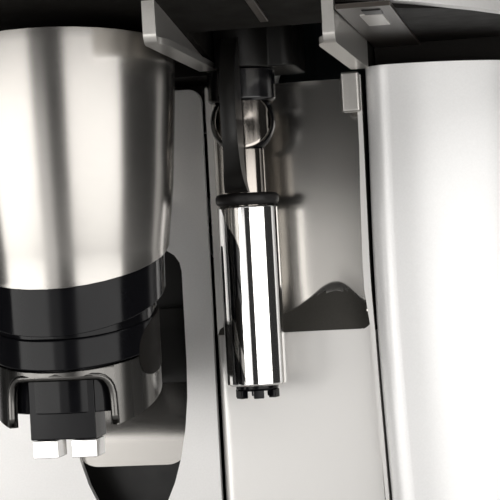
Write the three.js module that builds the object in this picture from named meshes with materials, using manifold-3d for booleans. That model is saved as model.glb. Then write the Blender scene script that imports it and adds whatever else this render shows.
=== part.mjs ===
// A bean to cup coffee machine with a sliding dispenser on its door and a steam wand beside it.
// Millimetres. X runs to the right, Y to the back and Z up. The origin is at the bottom, in the middle.

import * as THREE from 'three';
import { mergeVertices } from 'three/addons/utils/BufferGeometryUtils.js';
import Module from 'manifold-3d';

const wasm = await Module();
wasm.setup();

// Sizes that many pieces share
const seat = 0.3;
const running = 0.6;
const overrun = 6;
const weld = 0.0001;

// The whole housing
const machine = { width: 320, depth: 400, frontRadius: 212, shoulder: 40, rearCorner: 14, wall: 3 };
const frontY = -machine.depth / 2;
const rearY = machine.depth / 2;
const halfWidth = machine.width / 2;
const foot = { radius: 11, height: 6, inset: 30, chamfer: 1 };
const base = { inset: 4, wall: 3, floor: 3, height: 8, railWidth: 6, railLeft: -60, railRight: 14 };
const pillar = { face: -90, inner: 89.9, lean: 4.1, edge: 4, cornerShare: 0.995, returnEnd: -66, lip: 6 };
const ceiling = { rear: 294.1, slope: 0.13, recess: 4.5, plate: 3, back: -56, recessEdge: 38 };
const consoleBox = { slopeStart: 322, rise: 44, setback: 48, wall: 3 };
const deck = { thickness: 3, inset: 0.5 };

// The bay with the steam wand
const bay = { left: 43.5, right: 88, front: -150, roof: 322, wall: 2.5, linerGapLeft: 32, linerGapRight: 90 };
const liner = {
  left: 33, right: 88.8, lean: 4.2, front: -78, recess: 5, step: 204.8, ramp: 16, wall: 3, flange: 2.2,
  flangeFront: -84, sideDepth: 14, lugWidth: 5, lugDrop: 3, lugRise: 8, lugReach: 2.4, top: 320,
};
const finLeft = { setback: 10, rear: -104, left: 38.4, width: 3.8, drift: -1, bottom: 294.4, lip: 2.4, lipRoot: 1, lipDrop: 2 };
const finRight = { setback: 22, rear: -92, left: 88.8, width: 3.5, drift: 0.4, bottom: 292.7, lip: 2.4, lipRoot: 1, lipDrop: 2 };
const catchBlock = { left: 82.3, right: 89.6, bottom: 278.6, top: 292, thickness: 4.6, round: 1, stripShare: 0.2 };
const wand = { x: 51, y: -103, ballZ: 276.7 };
const mount = { left: 44.2, right: 69.5, noseRadius: 12.4, shoulderY: -109.5, rear: -75, bottom: 294, round: 4 };
const nut = { radius: 11.3, bottom: 6.3, top: 17, chamfer: 0.8 };
const ball = { radius: 10.9, window: 9.1, core: 10.2, band: 9.4, turn: 0.17 };
const pipe = { radius: 6.5, bottom: -81.7 };
const ring = { radius: 10.6, bottom: -27.8, top: -23.8, round: 1.3 };
const sleeve = { radius: 10, wall: 0.8, length: 59.4 };
const tip = { radius: 7.35, bottom: -91.8, teeth: 3, notch: 4.6, notchDepth: 2.6, bore: 1.2, chamfer: 1.2 };
const handle = {
  thickness: 5, footWidth: 8, footDepth: 3, footHeight: 2.2,
  z: [-23.5, -20, -15, -8, 0, 8, 15, 20, 24, 26.3],
  front: [-10.2, -17, -21.5, -24.3, -25.2, -24.9, -23.2, -20.8, -17.8, -15.8],
  rear: [-7.2, -11.5, -13.4, -13.6, -13.6, -13.6, -13.5, -13.5, -13.5, -13.8],
};

// The door and the dispenser that slides on it
const door = {
  left: -85.5, right: 31.9, face: -78, skin: 3, bottom: 74, top: 291, bead: 3.3, rim: 3, rimInset: 3,
  depth: 19, corner: 4, pin: 1.5, pinLength: 9,
};
const slot = { half: 22, top: 235.9, corner: 8, curveZ: 195, curveDrop: 58 };
const backing = { half: 25, bottom: 120, top: 242, wall: 2, depth: 16.7 };
const column = { y: -140, bottomZ: 235.1, tilt: 0.32, topZ: 300.1, topTilt: 0.1, wall: 1.6, neckHalf: 18, neckBottom: 241 };
const columnProfile = { z: [205, 228, 236, 256, 280, 300, 315], r: [30.3, 30.4, 30.9, 33.4, 35.2, 36.2, 36.8] };
const collar = { radius: 29.4, wall: 1.8, bottomZ: 224.2 };
const spout = {
  ringRadius: 28.7, ringTop: 219.4, ringBottom: 209.2, core: 26.2, sleeve: 27, sleeveWall: 2, sleeveTop: 258,
  coreBottom: 200, half: 10.4, front: -161, rear: -148.5, bottom: 179, shoulder: 5,
};
const hood = { radius: 28.6, bottomZ: 193.2, bottomTilt: 0.43, windowHalf: 17.5, windowTop: 198.4, windowRound: 6 };
const oval = { y: -143, z: 209, halfY: 13, halfZ: 12.5, reach: 20 };
const nozzle = { inner: 2.2, outer: 10.1, front: -160, rear: -150, bottom: 173.3, wall: 1.2 };
const carriage = { half: 20.6, plateBottom: 160, plateTop: 186, plateThickness: 2.6, corner: 8, armHalf: 10, top: 215, depth: 8.6 };

// The tray with its grid, float and drawer
const tray = { half: 87.3, rear: -81, top: 64, wall: 2.5, tailLeft: -82, tailRight: 27, tailRear: 62, corner: 5 };
const fascia = { thickness: 3.2, half: 88.6, top: 66, gripHalf: 26, gripDrop: 7 };
const grid = { top: 69.7, slotWidth: 5, pitch: 10, slots: 15, setback: 24, frontRowEnd: -136, rearRow: [-128, -91] };
const float = { x: 0, y: -98, radius: 7.4, top: 70.6, dome: 2, keepOut: 12 };
const drawer = { left: -80, right: 25, front: -79.5, rear: 58, top: 70.5, wall: 2.2, corner: 8, gripDrop: 9, gripHalf: 22 };

// What stands on the top
const hopper = { sideGap: 12, right: -4, length: 144, rearGap: 12, flange: 1.8, border: 4, wall: 2.2, corner: 12, shelf: 345 };
const tank = { left: 34, sideGap: 14, length: 140, rearGap: 14, flange: 1.8, border: 4, wall: 2.5, corner: 12, taper: 2, lidHeight: 5 };
const lid = { gap: 0.6, height: 9, crown: 4, edge: 1.5, wall: 2, hingeBack: 0.5, hingeUp: 2.5 };
const doser = { left: 0, right: 30, length: 64, rearGap: 48, border: 3, wall: 2, throat: 9, throatZ: 332, lidHeight: 4, corner: 5 };
const cupPlate = { half: 128, setback: 34, hopperGap: 16, height: 4, floor: 1.5, border: 5, corner: 14, ribs: 9, ribWidth: 3, ribHeight: 1.2 };

// Controls on the sloping fascia; places are shares of the slope's height
const display = { half: 36, height: 24, share: 0.5, thickness: 2.2 };
const button = { radius: 7, stem: 8, proud: 1.4, travelGap: 0.4, share: 0.5, first: -62, pitch: -17, count: 3, dome: 0.6 };
const knob = { x: 92, share: 0.5, radius: 15, height: 13, lift: 1.4, shaft: 4, shaftLength: 11, flutes: 12, fluteShare: 0.06 };
const inlet = { sideGap: 27, width: 30, bottom: 30, top: 55, depth: 20, wall: 2.4, pin: 2, pinShort: 6 };
const rocker = { left: -74, right: -58, bottom: 32, top: 53, depth: 9, tiltShare: 0.12 };
const vents = { rows: 8, pitch: 9, height: 3.5, half: 34, x: 74, bottom: 190 };

// What the housing holds inside
const frame = { left: -98, right: 32, wall: 3, front: -45, rearGap: 22, top: 292, lowShelf: 74, highShelf: 246, bracketDrop: 7 };
const brew = { left: -62, right: 8, front: -42, rear: 58, height: 96, chamber: 27, chamberTop: 159, chute: 12, post: 10 };
const boiler = { x: 0, rearGap: 75, radius: 25, height: 128, dome: 8, fitting: 5 };
const pump = { x: -62, brewGap: 22, rearGap: 35, radius: 18, neck: 9, neckLength: 14, footHalf: 14 };
const motor = { x: -64, radius: 25, height: 31.7, shaft: 4, shaftTop: 292 };
const burr = { radius: 18, topRadius: 7, height: 15, teeth: 9, toothShare: 0.08, twist: 0.5, levels: 4, ringRadius: 25, ringInner: 20.6, ringHeight: 17.7 };
const board = { front: -30, rearGap: 80, bottom: 120, top: 235, thickness: 1.6, partDepth: 9 };
const hose = { radius: 3, wallHole: 0.7, holeZ: 306, holeX: 57 };

// Parts on the control board: from and to along it, from and to up it, and their depth
const boardShares = [
  [0.06, 0.3, 0.1, 0.4, 1],
  [0.4, 0.5, 0.1, 0.5, 0.8],
  [0.6, 0.9, 0.15, 0.3, 0.6],
  [0.1, 0.25, 0.6, 0.85, 0.5],
  [0.5, 0.7, 0.6, 0.8, 0.3],
];

// A rounded rectangle whose corner radius is this share of its half width looks like a circle
const roundShare = 0.96;
// The share of a lid's height where its side bends over to the crown
const crownShare = 0.7;

// Counts of facets
const facets = { round: 28, small: 16, tube: 8, corner: 4, front: 16, fine: 32, ballRows: 12 };

const colours = {
  silver: { color: 0xb9b6b0, roughness: 0.38, metalness: 0.75 },
  darkGrey: { color: 0x2e2a28, roughness: 0.55, metalness: 0.1 },
  black: { color: 0x101011, roughness: 0.25, metalness: 0 },
  rubber: { color: 0x17171a, roughness: 0.7, metalness: 0 },
  chrome: { color: 0xdcdcdc, roughness: 0.08, metalness: 1 },
  steel: { color: 0xb8b2ab, roughness: 0.2, metalness: 1 },
  smoke: { color: 0x23262a, roughness: 0.12, metalness: 0 },
  clear: { color: 0x9fb2ba, roughness: 0.1, metalness: 0 },
  white: { color: 0xe6e4df, roughness: 0.5, metalness: 0 },
  brass: { color: 0xb98f4c, roughness: 0.35, metalness: 0.9 },
  green: { color: 0x1f5a3a, roughness: 0.6, metalness: 0 },
  red: { color: 0xb3241d, roughness: 0.4, metalness: 0 },
};

// Heights that follow from the sizes above
const baseZ = foot.height + seat;
const baseTop = baseZ + base.height;
const floorTop = baseZ + base.floor;
const bodyZ = baseTop + seat;
const trayZ = baseTop + seat;
const gridZ = tray.top + seat;
const consoleTop = consoleBox.slopeStart + consoleBox.rise;
const consoleFront = frontY + consoleBox.setback;
const deckZ = consoleTop + seat;
const deckTop = deckZ + deck.thickness;
const flangeZ = deckTop + seat;
const lidZ = flangeZ + hopper.flange + lid.gap;
const tankLidZ = flangeZ + tank.flange + lid.gap;
const doserLidZ = deckTop + lid.gap;
const panelTop = ceiling.rear - seat;
const lowShelfTop = frame.lowShelf + frame.wall;
const highShelfTop = frame.highShelf + frame.wall;
const gridFrontRadius = machine.frontRadius - fascia.thickness - seat;
const grinderTop = highShelfTop + seat + motor.height + seat + burr.ringHeight;
const hopperThroat = burr.ringInner;
// The fascia bends away from a flat cutter, so cutters are this deep
const cutDepth = display.half / 2;

// What stands at the rear or at a side is placed from that face
hopper.left = hopper.sideGap - halfWidth;
tank.right = halfWidth - tank.sideGap;
inlet.left = inlet.sideGap - halfWidth;
inlet.right = inlet.left + inlet.width;
for (const box of [hopper, tank, doser]) {
  box.rear = rearY - box.rearGap;
  box.front = box.rear - box.length;
}
const frameRear = rearY - frame.rearGap;
const boilerY = rearY - boiler.rearGap;
const pumpFront = brew.rear + pump.brewGap;
const pumpRear = rearY - pump.rearGap;
const motorY = (hopper.front + hopper.rear) / 2;
const boardRear = rearY - board.rearGap;
const cupPlateFront = consoleFront + cupPlate.setback;
const cupPlateRear = hopper.front - cupPlate.hopperGap;

// The height of the sloping ceiling over a depth
function ceilingAt(y) {
  return ceiling.rear + Math.max(0, pillar.face - y) * ceiling.slope;
}

// Points and outlines

function arc(x, y, radius, from, to, steps) {
  const points = [];
  for (let i = 0; i <= steps; i++) {
    const angle = from + (to - from) * i / steps;
    points.push(new THREE.Vector2(x + radius * Math.cos(angle), y + radius * Math.sin(angle)));
  }
  return points;
}

function roundedRect(x0, x1, y0, y1, radius) {
  const quarter = Math.PI / 2;
  return [
    ...arc(x0 + radius, y0 + radius, radius, -Math.PI, -quarter, facets.corner),
    ...arc(x1 - radius, y0 + radius, radius, -quarter, 0, facets.corner),
    ...arc(x1 - radius, y1 - radius, radius, 0, quarter, facets.corner),
    ...arc(x0 + radius, y1 - radius, radius, quarter, Math.PI, facets.corner),
  ];
}

function ellipse(x, y, halfX, halfY, steps) {
  const points = [];
  for (let i = 0; i < steps; i++) {
    const angle = 2 * Math.PI * i / steps;
    points.push(new THREE.Vector2(x + halfX * Math.cos(angle), y + halfY * Math.sin(angle)));
  }
  return points;
}

// The plan of the housing: a bowed front, two shoulders and two rear corners
function housingOutline(front, inset) {
  const centreY = front + machine.frontRadius;
  const shoulderX = halfWidth - machine.shoulder;
  const reach = machine.frontRadius - machine.shoulder;
  const shoulderY = centreY - Math.sqrt(reach * reach - shoulderX * shoulderX);
  const turn = Math.atan2(shoulderY - centreY, shoulderX);
  const cornerX = halfWidth - machine.rearCorner;
  const cornerY = rearY - machine.rearCorner;
  const quarter = Math.PI / 2;
  const bow = arc(0, centreY, machine.frontRadius - inset, -Math.PI - turn, turn, facets.front);
  const right = arc(shoulderX, shoulderY, machine.shoulder - inset, turn, 0, facets.corner).slice(1);
  const rearRight = arc(cornerX, cornerY, machine.rearCorner - inset, 0, quarter, facets.corner);
  const rearLeft = arc(-cornerX, cornerY, machine.rearCorner - inset, quarter, Math.PI, facets.corner);
  const left = arc(-shoulderX, shoulderY, machine.shoulder - inset, -Math.PI, -Math.PI - turn, facets.corner);
  return [...bow, ...right, ...rearRight, ...rearLeft, ...left.slice(0, -1)];
}

// Solids

function turnedOut(geometry) {
  const bare = geometry.index ? geometry.toNonIndexed() : geometry.clone();
  bare.deleteAttribute('normal');
  bare.deleteAttribute('uv');
  const welded = mergeVertices(bare, weld);
  const at = welded.attributes.position;
  const index = welded.index.array;
  const a = new THREE.Vector3();
  const b = new THREE.Vector3();
  const c = new THREE.Vector3();
  let volume = 0;
  const kept = [];
  for (let i = 0; i < index.length; i += 3) {
    if (index[i] === index[i + 1] || index[i + 1] === index[i + 2] || index[i] === index[i + 2]) continue;
    kept.push(index[i], index[i + 1], index[i + 2]);
    a.fromBufferAttribute(at, index[i]);
    b.fromBufferAttribute(at, index[i + 1]);
    c.fromBufferAttribute(at, index[i + 2]);
    volume += a.dot(b.cross(c));
  }
  if (volume < 0) {
    for (let i = 0; i < kept.length; i += 3) [kept[i + 1], kept[i + 2]] = [kept[i + 2], kept[i + 1]];
  }
  welded.setIndex(kept);
  return welded;
}

function solidOf(geometry) {
  const closed = turnedOut(geometry);
  return new wasm.Manifold(new wasm.Mesh({
    numProp: 3,
    vertProperties: closed.attributes.position.array,
    triVerts: new Uint32Array(closed.index.array),
  }));
}

function geometryOf(solid) {
  const mesh = solid.getMesh();
  const geometry = new THREE.BufferGeometry();
  geometry.setAttribute('position', new THREE.BufferAttribute(new Float32Array(mesh.vertProperties), 3));
  geometry.setIndex(new THREE.BufferAttribute(new Uint32Array(mesh.triVerts), 1));
  return geometry;
}

function join(first, ...others) {
  return geometryOf(others.reduce((sum, other) => sum.add(solidOf(other)), solidOf(first)));
}

function cut(first, ...others) {
  return geometryOf(others.reduce((sum, other) => sum.subtract(solidOf(other)), solidOf(first)));
}

function common(first, ...others) {
  return geometryOf(others.reduce((sum, other) => sum.intersect(solidOf(other)), solidOf(first)));
}

function block(x0, x1, y0, y1, z0, z1) {
  return new THREE.BoxGeometry(x1 - x0, y1 - y0, z1 - z0).translate((x0 + x1) / 2, (y0 + y1) / 2, (z0 + z1) / 2);
}

function prismZ(points, z0, z1) {
  return new THREE.ExtrudeGeometry(new THREE.Shape(points), { depth: z1 - z0, bevelEnabled: false }).translate(0, 0, z0);
}

// Extruded along X; the points are (y, z)
function prismX(points, x0, x1) {
  const turn = new THREE.Matrix4().makeBasis(
    new THREE.Vector3(0, 1, 0),
    new THREE.Vector3(0, 0, 1),
    new THREE.Vector3(1, 0, 0),
  );
  return prismZ(points, 0, x1 - x0).applyMatrix4(turn).translate(x0, 0, 0);
}

// Extruded along Y; the points are (x, z)
function prismY(points, y0, y1) {
  return prismZ(points, 0, y1 - y0).rotateX(Math.PI / 2).translate(0, y1, 0);
}

function rodZ(x, y, radius, z0, z1, sides = facets.round) {
  return new THREE.CylinderGeometry(radius, radius, z1 - z0, sides).rotateX(Math.PI / 2).translate(x, y, (z0 + z1) / 2);
}

function rodY(x, z, radius, y0, y1, sides = facets.round) {
  return new THREE.CylinderGeometry(radius, radius, y1 - y0, sides).translate(x, (y0 + y1) / 2, z);
}

// Turned about the Z axis; the profile is a list of [radius, height]
function turned(profile, sides = facets.round) {
  return new THREE.LatheGeometry(profile.map(([r, z]) => new THREE.Vector2(r, z)), sides).rotateX(Math.PI / 2);
}

function tubeTurned(outer, inner, z0, z1, sides = facets.round) {
  return turned([[inner, z0], [outer, z0], [outer, z1], [inner, z1], [inner, z0]], sides);
}

// Rings of the same number of points, one above the other
function loft(rings) {
  const count = rings[0].length;
  const positions = rings.flat().flatMap((p) => [p.x, p.y, p.z]);
  const index = [];
  for (let level = 0; level < rings.length - 1; level++) {
    for (let i = 0; i < count; i++) {
      const a = level * count + i;
      const b = level * count + (i + 1) % count;
      index.push(a, b, b + count, a, b + count, a + count);
    }
  }
  const lastRing = (rings.length - 1) * count;
  for (const [a, b, c] of THREE.ShapeUtils.triangulateShape(rings[0], [])) index.push(a, c, b);
  for (const [a, b, c] of THREE.ShapeUtils.triangulateShape(rings.at(-1), [])) {
    index.push(lastRing + a, lastRing + b, lastRing + c);
  }
  const geometry = new THREE.BufferGeometry();
  geometry.setAttribute('position', new THREE.Float32BufferAttribute(positions, 3));
  geometry.setIndex(index);
  return geometry;
}

function ringAt(points, z) {
  return points.map((p) => new THREE.Vector3(p.x, p.y, z));
}

// Everything under, or over, a plane that slopes along Y through a height at a depth
function underSlope(y, z, slope, x0 = -halfWidth, x1 = halfWidth) {
  const near = y - machine.depth;
  const far = y + machine.depth;
  const deep = z - machine.depth;
  const points = [
    new THREE.Vector2(near, deep),
    new THREE.Vector2(far, deep),
    new THREE.Vector2(far, z + slope * machine.depth),
    new THREE.Vector2(near, z - slope * machine.depth),
  ];
  return prismX(points, x0 - overrun, x1 + overrun);
}

const root = new THREE.Group();

function piece(name, geometry, finish, parent = root) {
  const closed = turnedOut(geometry).toNonIndexed();
  closed.computeVertexNormals();
  const mesh = new THREE.Mesh(closed, new THREE.MeshStandardMaterial(finish));
  mesh.name = name;
  parent.add(mesh);
  return mesh;
}

// The base, its feet and the side and rear casings

function makeFeet() {
  const rise = foot.height;
  const profile = [
    [0, 0],
    [foot.radius - foot.chamfer, 0],
    [foot.radius, foot.chamfer],
    [foot.radius - foot.chamfer, rise],
    [0, rise],
  ];
  const frontPlace = frontY + foot.inset + foot.radius;
  const rearPlace = rearY - foot.inset;
  const sidePlace = halfWidth - foot.inset - foot.radius;
  const places = {
    foot_front_left: [-sidePlace, frontPlace + foot.inset],
    foot_front_right: [sidePlace, frontPlace + foot.inset],
    foot_rear_left: [-sidePlace, rearPlace],
    foot_rear_right: [sidePlace, rearPlace],
  };
  for (const [name, [x, y]] of Object.entries(places)) {
    piece(name, turned(profile, facets.small), colours.rubber).position.set(x, y, 0);
  }
}

function makeBasePan() {
  const body = prismZ(housingOutline(frontY, base.inset), baseZ, baseTop);
  const inside = prismZ(housingOutline(frontY, base.inset + base.wall), floorTop, baseTop + overrun);
  const trayBay = block(-tray.half - running, tray.half + running, frontY, pillar.returnEnd, baseZ, baseTop + overrun);
  const rearBay = block(-halfWidth, halfWidth, pillar.returnEnd, rearY, baseZ, baseTop + overrun);
  const hollow = common(inside, join(trayBay, rearBay));
  const rails = [base.railLeft, base.railRight].map((x) => block(
    x, x + base.railWidth, frontY + machine.shoulder, tray.tailRear, baseZ + base.floor / 2, baseTop,
  ));
  const tankPad = block(
    tank.left + tank.corner, tank.right - tank.corner, tank.front + tank.corner, tank.rear - tank.corner,
    baseZ + base.floor / 2, baseTop,
  );
  piece('base_pan', join(cut(body, hollow), ...rails, tankPad), colours.darkGrey);
}

// The plan of a side casing: front face, big corner, side, rear corner and lip, with its wall
function sideOutline(inner) {
  const wall = machine.wall;
  const corner = (halfWidth - pillar.inner - pillar.lean - pillar.edge) * pillar.cornerShare;
  const quarter = Math.PI / 2;
  const rearX = halfWidth - machine.rearCorner;
  const path = (inset) => [
    new THREE.Vector2(inner + inset, pillar.returnEnd),
    ...arc(inner + pillar.edge, pillar.face + pillar.edge, pillar.edge - inset, Math.PI, Math.PI + quarter, facets.corner),
    ...arc(halfWidth - corner, pillar.face + corner, corner - inset, Math.PI + quarter, 2 * Math.PI, 2 * facets.corner),
    ...arc(rearX, rearY - machine.rearCorner, machine.rearCorner - inset, 0, quarter, facets.corner),
    new THREE.Vector2(rearX - pillar.lip, rearY - inset),
  ];
  return [...path(0), ...path(wall).reverse()];
}

function makeSidePanels() {
  const footRing = ringAt(sideOutline(pillar.inner + pillar.lean), bodyZ);
  const head = ringAt(sideOutline(pillar.inner), panelTop);
  piece('side_panel_right', loft([footRing, head]), colours.silver);
  piece('side_panel_left', loft([footRing, head]).scale(-1, 1, 1), colours.silver);
}

function makeRearPanel() {
  const half = halfWidth - machine.rearCorner - pillar.lip - seat;
  const inner = rearY - machine.wall;
  const sheet = prismY(roundedRect(-half, half, bodyZ, panelTop, machine.wall), inner, rearY);
  const hole = (x0, x1, z0, z1) => block(x0, x1, inner - overrun, rearY + overrun, z0, z1);
  const holes = [inlet, rocker].map((box) => hole(box.left, box.right, box.bottom, box.top));
  for (const side of [-1, 1]) {
    for (let i = 0; i < vents.rows; i++) {
      const z = vents.bottom + i * vents.pitch;
      holes.push(hole(side * vents.x - vents.half, side * vents.x + vents.half, z, z + vents.height));
    }
  }
  piece('rear_panel', cut(sheet, ...holes), colours.darkGrey);
}

function makePowerInlet() {
  const rim = seat;
  const body = block(inlet.left + rim, inlet.right - rim, rearY - inlet.depth, rearY, inlet.bottom + rim, inlet.top - rim);
  const wall = inlet.wall;
  const pocket = block(
    inlet.left + rim + wall, inlet.right - rim - wall, rearY - inlet.depth + wall, rearY + overrun,
    inlet.bottom + rim + wall, inlet.top - rim - wall,
  );
  const middleX = (inlet.left + inlet.right) / 2;
  const middleZ = (inlet.bottom + inlet.top) / 2;
  const spread = (inlet.right - inlet.left) / 4;
  const pins = [-1, 0, 1].map((side) => block(
    middleX + side * spread - inlet.pin / 2, middleX + side * spread + inlet.pin / 2,
    rearY - inlet.depth + wall / 2, rearY - inlet.pinShort,
    middleZ - inlet.pin * (2 - side * side), middleZ + inlet.pin * (1 + side * side),
  ));
  piece('power_inlet', join(cut(body, pocket), ...pins), colours.black);
}

function makeRocker() {
  const half = (rocker.top - rocker.bottom) / 2 - running;
  const tilt = half * rocker.tiltShare;
  const points = [
    new THREE.Vector2(-rocker.depth, -half),
    new THREE.Vector2(-tilt, -half),
    new THREE.Vector2(-tilt - tilt / 2, 0),
    new THREE.Vector2(0, half),
    new THREE.Vector2(-rocker.depth, half),
  ];
  const paddle = prismX(points, rocker.left + running, rocker.right - running);
  const mesh = piece('power_rocker', paddle, colours.red);
  mesh.position.set(0, rearY, (rocker.bottom + rocker.top) / 2);
}

// The console over the bay: its shell, its sloping underside and the fins that hang from it

function consoleRings(inset, reach) {
  return [
    ringAt(housingOutline(frontY, inset), ceiling.rear - reach),
    ringAt(housingOutline(frontY, inset), consoleBox.slopeStart),
    ringAt(housingOutline(consoleFront, inset), consoleTop),
  ];
}

function consoleInside(inset) {
  const above = ringAt(housingOutline(consoleFront, inset), consoleTop + overrun);
  return loft([...consoleRings(inset, overrun), above]);
}

// The place and turn of a control on the sloping fascia
function onFascia(x, share) {
  const rise = consoleBox.rise;
  const back = consoleBox.setback;
  const turn = Math.asin(x / machine.frontRadius);
  const along = new THREE.Vector3(Math.cos(turn), Math.sin(turn), 0);
  const out = new THREE.Vector3(Math.sin(turn) * rise, -Math.cos(turn) * rise, Math.cos(turn) * back).normalize();
  const up = new THREE.Vector3().crossVectors(out, along);
  const y = frontY + back * share + machine.frontRadius * (1 - Math.cos(turn));
  const matrix = new THREE.Matrix4().makeBasis(along, up, out);
  matrix.setPosition(x, y, consoleBox.slopeStart + rise * share);
  return matrix;
}

function placeOnFascia(mesh, x, share) {
  const matrix = onFascia(x, share);
  mesh.position.setFromMatrixPosition(matrix);
  mesh.quaternion.setFromRotationMatrix(matrix);
  return mesh;
}

function buttonX(i) {
  return button.first + button.pitch * i;
}

function displayPrism(inset, deep) {
  const outline = roundedRect(
    -display.half + inset, display.half - inset, -display.height / 2 + inset, display.height / 2 - inset,
    consoleBox.wall - inset,
  );
  return prismZ(outline, -deep, deep).applyMatrix4(onFascia(0, display.share));
}

function makeConsoleShell() {
  const shell = cut(loft(consoleRings(0, 0)), consoleInside(consoleBox.wall));
  const under = underSlope(pillar.face, ceiling.rear, -ceiling.slope);
  const front = block(-halfWidth - overrun, halfWidth + overrun, frontY - overrun, pillar.face, 0, consoleBox.slopeStart);
  const recess = underSlope(pillar.face, ceiling.rear + ceiling.recess, -ceiling.slope, -halfWidth, ceiling.recessEdge - overrun);
  const holes = [common(under, front), common(recess, front), displayPrism(0, cutDepth)];
  for (let i = 0; i < button.count; i++) {
    holes.push(rodZ(0, 0, button.radius + button.travelGap, -button.stem, button.stem, facets.small + facets.tube)
      .applyMatrix4(onFascia(buttonX(i), button.share)));
  }
  holes.push(rodZ(0, 0, knob.shaft + running, -knob.shaftLength, knob.shaftLength, facets.small)
    .applyMatrix4(onFascia(knob.x, knob.share)));
  piece('console_shell', cut(shell, ...holes), colours.silver);
}

function makeDisplay() {
  const skin = cut(loft(consoleRings(0, 0)), consoleInside(display.thickness));
  piece('display_window', common(skin, displayPrism(seat, cutDepth)), colours.smoke);
}

function makeUnderside() {
  const plan = housingOutline(frontY, consoleBox.wall + seat);
  const slab = (lift, x0, x1, y1) => {
    const bottom = [
      [frontY, ceilingAt(frontY)], [pillar.face, ceiling.rear], [y1, ceiling.rear],
    ].filter(([y], i) => i < 2 || y > pillar.face);
    const points = [
      ...bottom.map(([y, z]) => new THREE.Vector2(y, z + lift)),
      ...bottom.map(([y, z]) => new THREE.Vector2(y, z + lift + ceiling.plate)).reverse(),
    ];
    return prismX(points, x0, x1);
  };
  const web = ceiling.plate;
  const right = slab(0, ceiling.recessEdge, halfWidth, ceiling.back);
  const left = slab(ceiling.recess, -halfWidth, ceiling.recessEdge + web, pillar.face);
  const leftRear = block(
    -halfWidth, ceiling.recessEdge + web, pillar.face - web, ceiling.back, ceiling.rear, ceiling.rear + ceiling.recess + ceiling.plate,
  );
  const step = common(
    underSlope(pillar.face, ceiling.rear + ceiling.recess + ceiling.plate, -ceiling.slope),
    cut(
      block(ceiling.recessEdge, ceiling.recessEdge + web, frontY, pillar.face, 0, consoleBox.slopeStart),
      underSlope(pillar.face, ceiling.rear, -ceiling.slope),
    ),
  );
  const pocketOut = block(
    bay.left - bay.wall, bay.right + bay.wall, bay.front - bay.wall, liner.front - running, ceiling.rear, bay.roof + bay.wall,
  );
  const pocketOver = cut(pocketOut, underSlope(pillar.face, ceiling.rear, -ceiling.slope));
  const pocketIn = block(bay.left, bay.right, bay.front, 0, 0, bay.roof);
  const linerGap = block(bay.linerGapLeft, bay.linerGapRight, liner.front - running, 0, 0, bay.roof);
  const doorPin = rodZ(door.left, door.face + door.skin, door.pin, door.top - door.pinLength, ceiling.rear + web, facets.small);
  const plate = common(join(right, left, leftRear, step), prismZ(plan, 0, consoleTop));
  piece('console_underside', join(cut(join(plate, pocketOver), pocketIn, linerGap), doorPin), colours.darkGrey);
}

// A wedge that tapers to nothing where the ceiling comes down, with a lip along its lower edge
function makeFin(name, fin, lipSide) {
  const front = frontY + fin.setback;
  const root = lipSide * fin.lipRoot;
  const blade = [
    new THREE.Vector2(fin.left, front),
    new THREE.Vector2(fin.left + fin.width, front),
    new THREE.Vector2(fin.left + fin.width + fin.drift, fin.rear),
    new THREE.Vector2(fin.left + fin.drift, fin.rear),
  ];
  const lipFrom = lipSide > 0 ? fin.left + fin.width : fin.left;
  const lipOutline = [
    new THREE.Vector2(lipFrom - root, front + fin.lip),
    new THREE.Vector2(lipFrom + lipSide * fin.lip, front + fin.lip * 2),
    new THREE.Vector2(lipFrom + lipSide * fin.lip + fin.drift, fin.rear),
    new THREE.Vector2(lipFrom - root + fin.drift, fin.rear),
  ];
  const body = join(
    prismZ(blade, fin.bottom, consoleBox.slopeStart),
    prismZ(lipOutline, fin.bottom, fin.bottom + fin.lipDrop),
  );
  piece(name, common(body, underSlope(pillar.face, ceiling.rear - seat, -ceiling.slope)), colours.silver);
}

// The bay behind the wand

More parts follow.
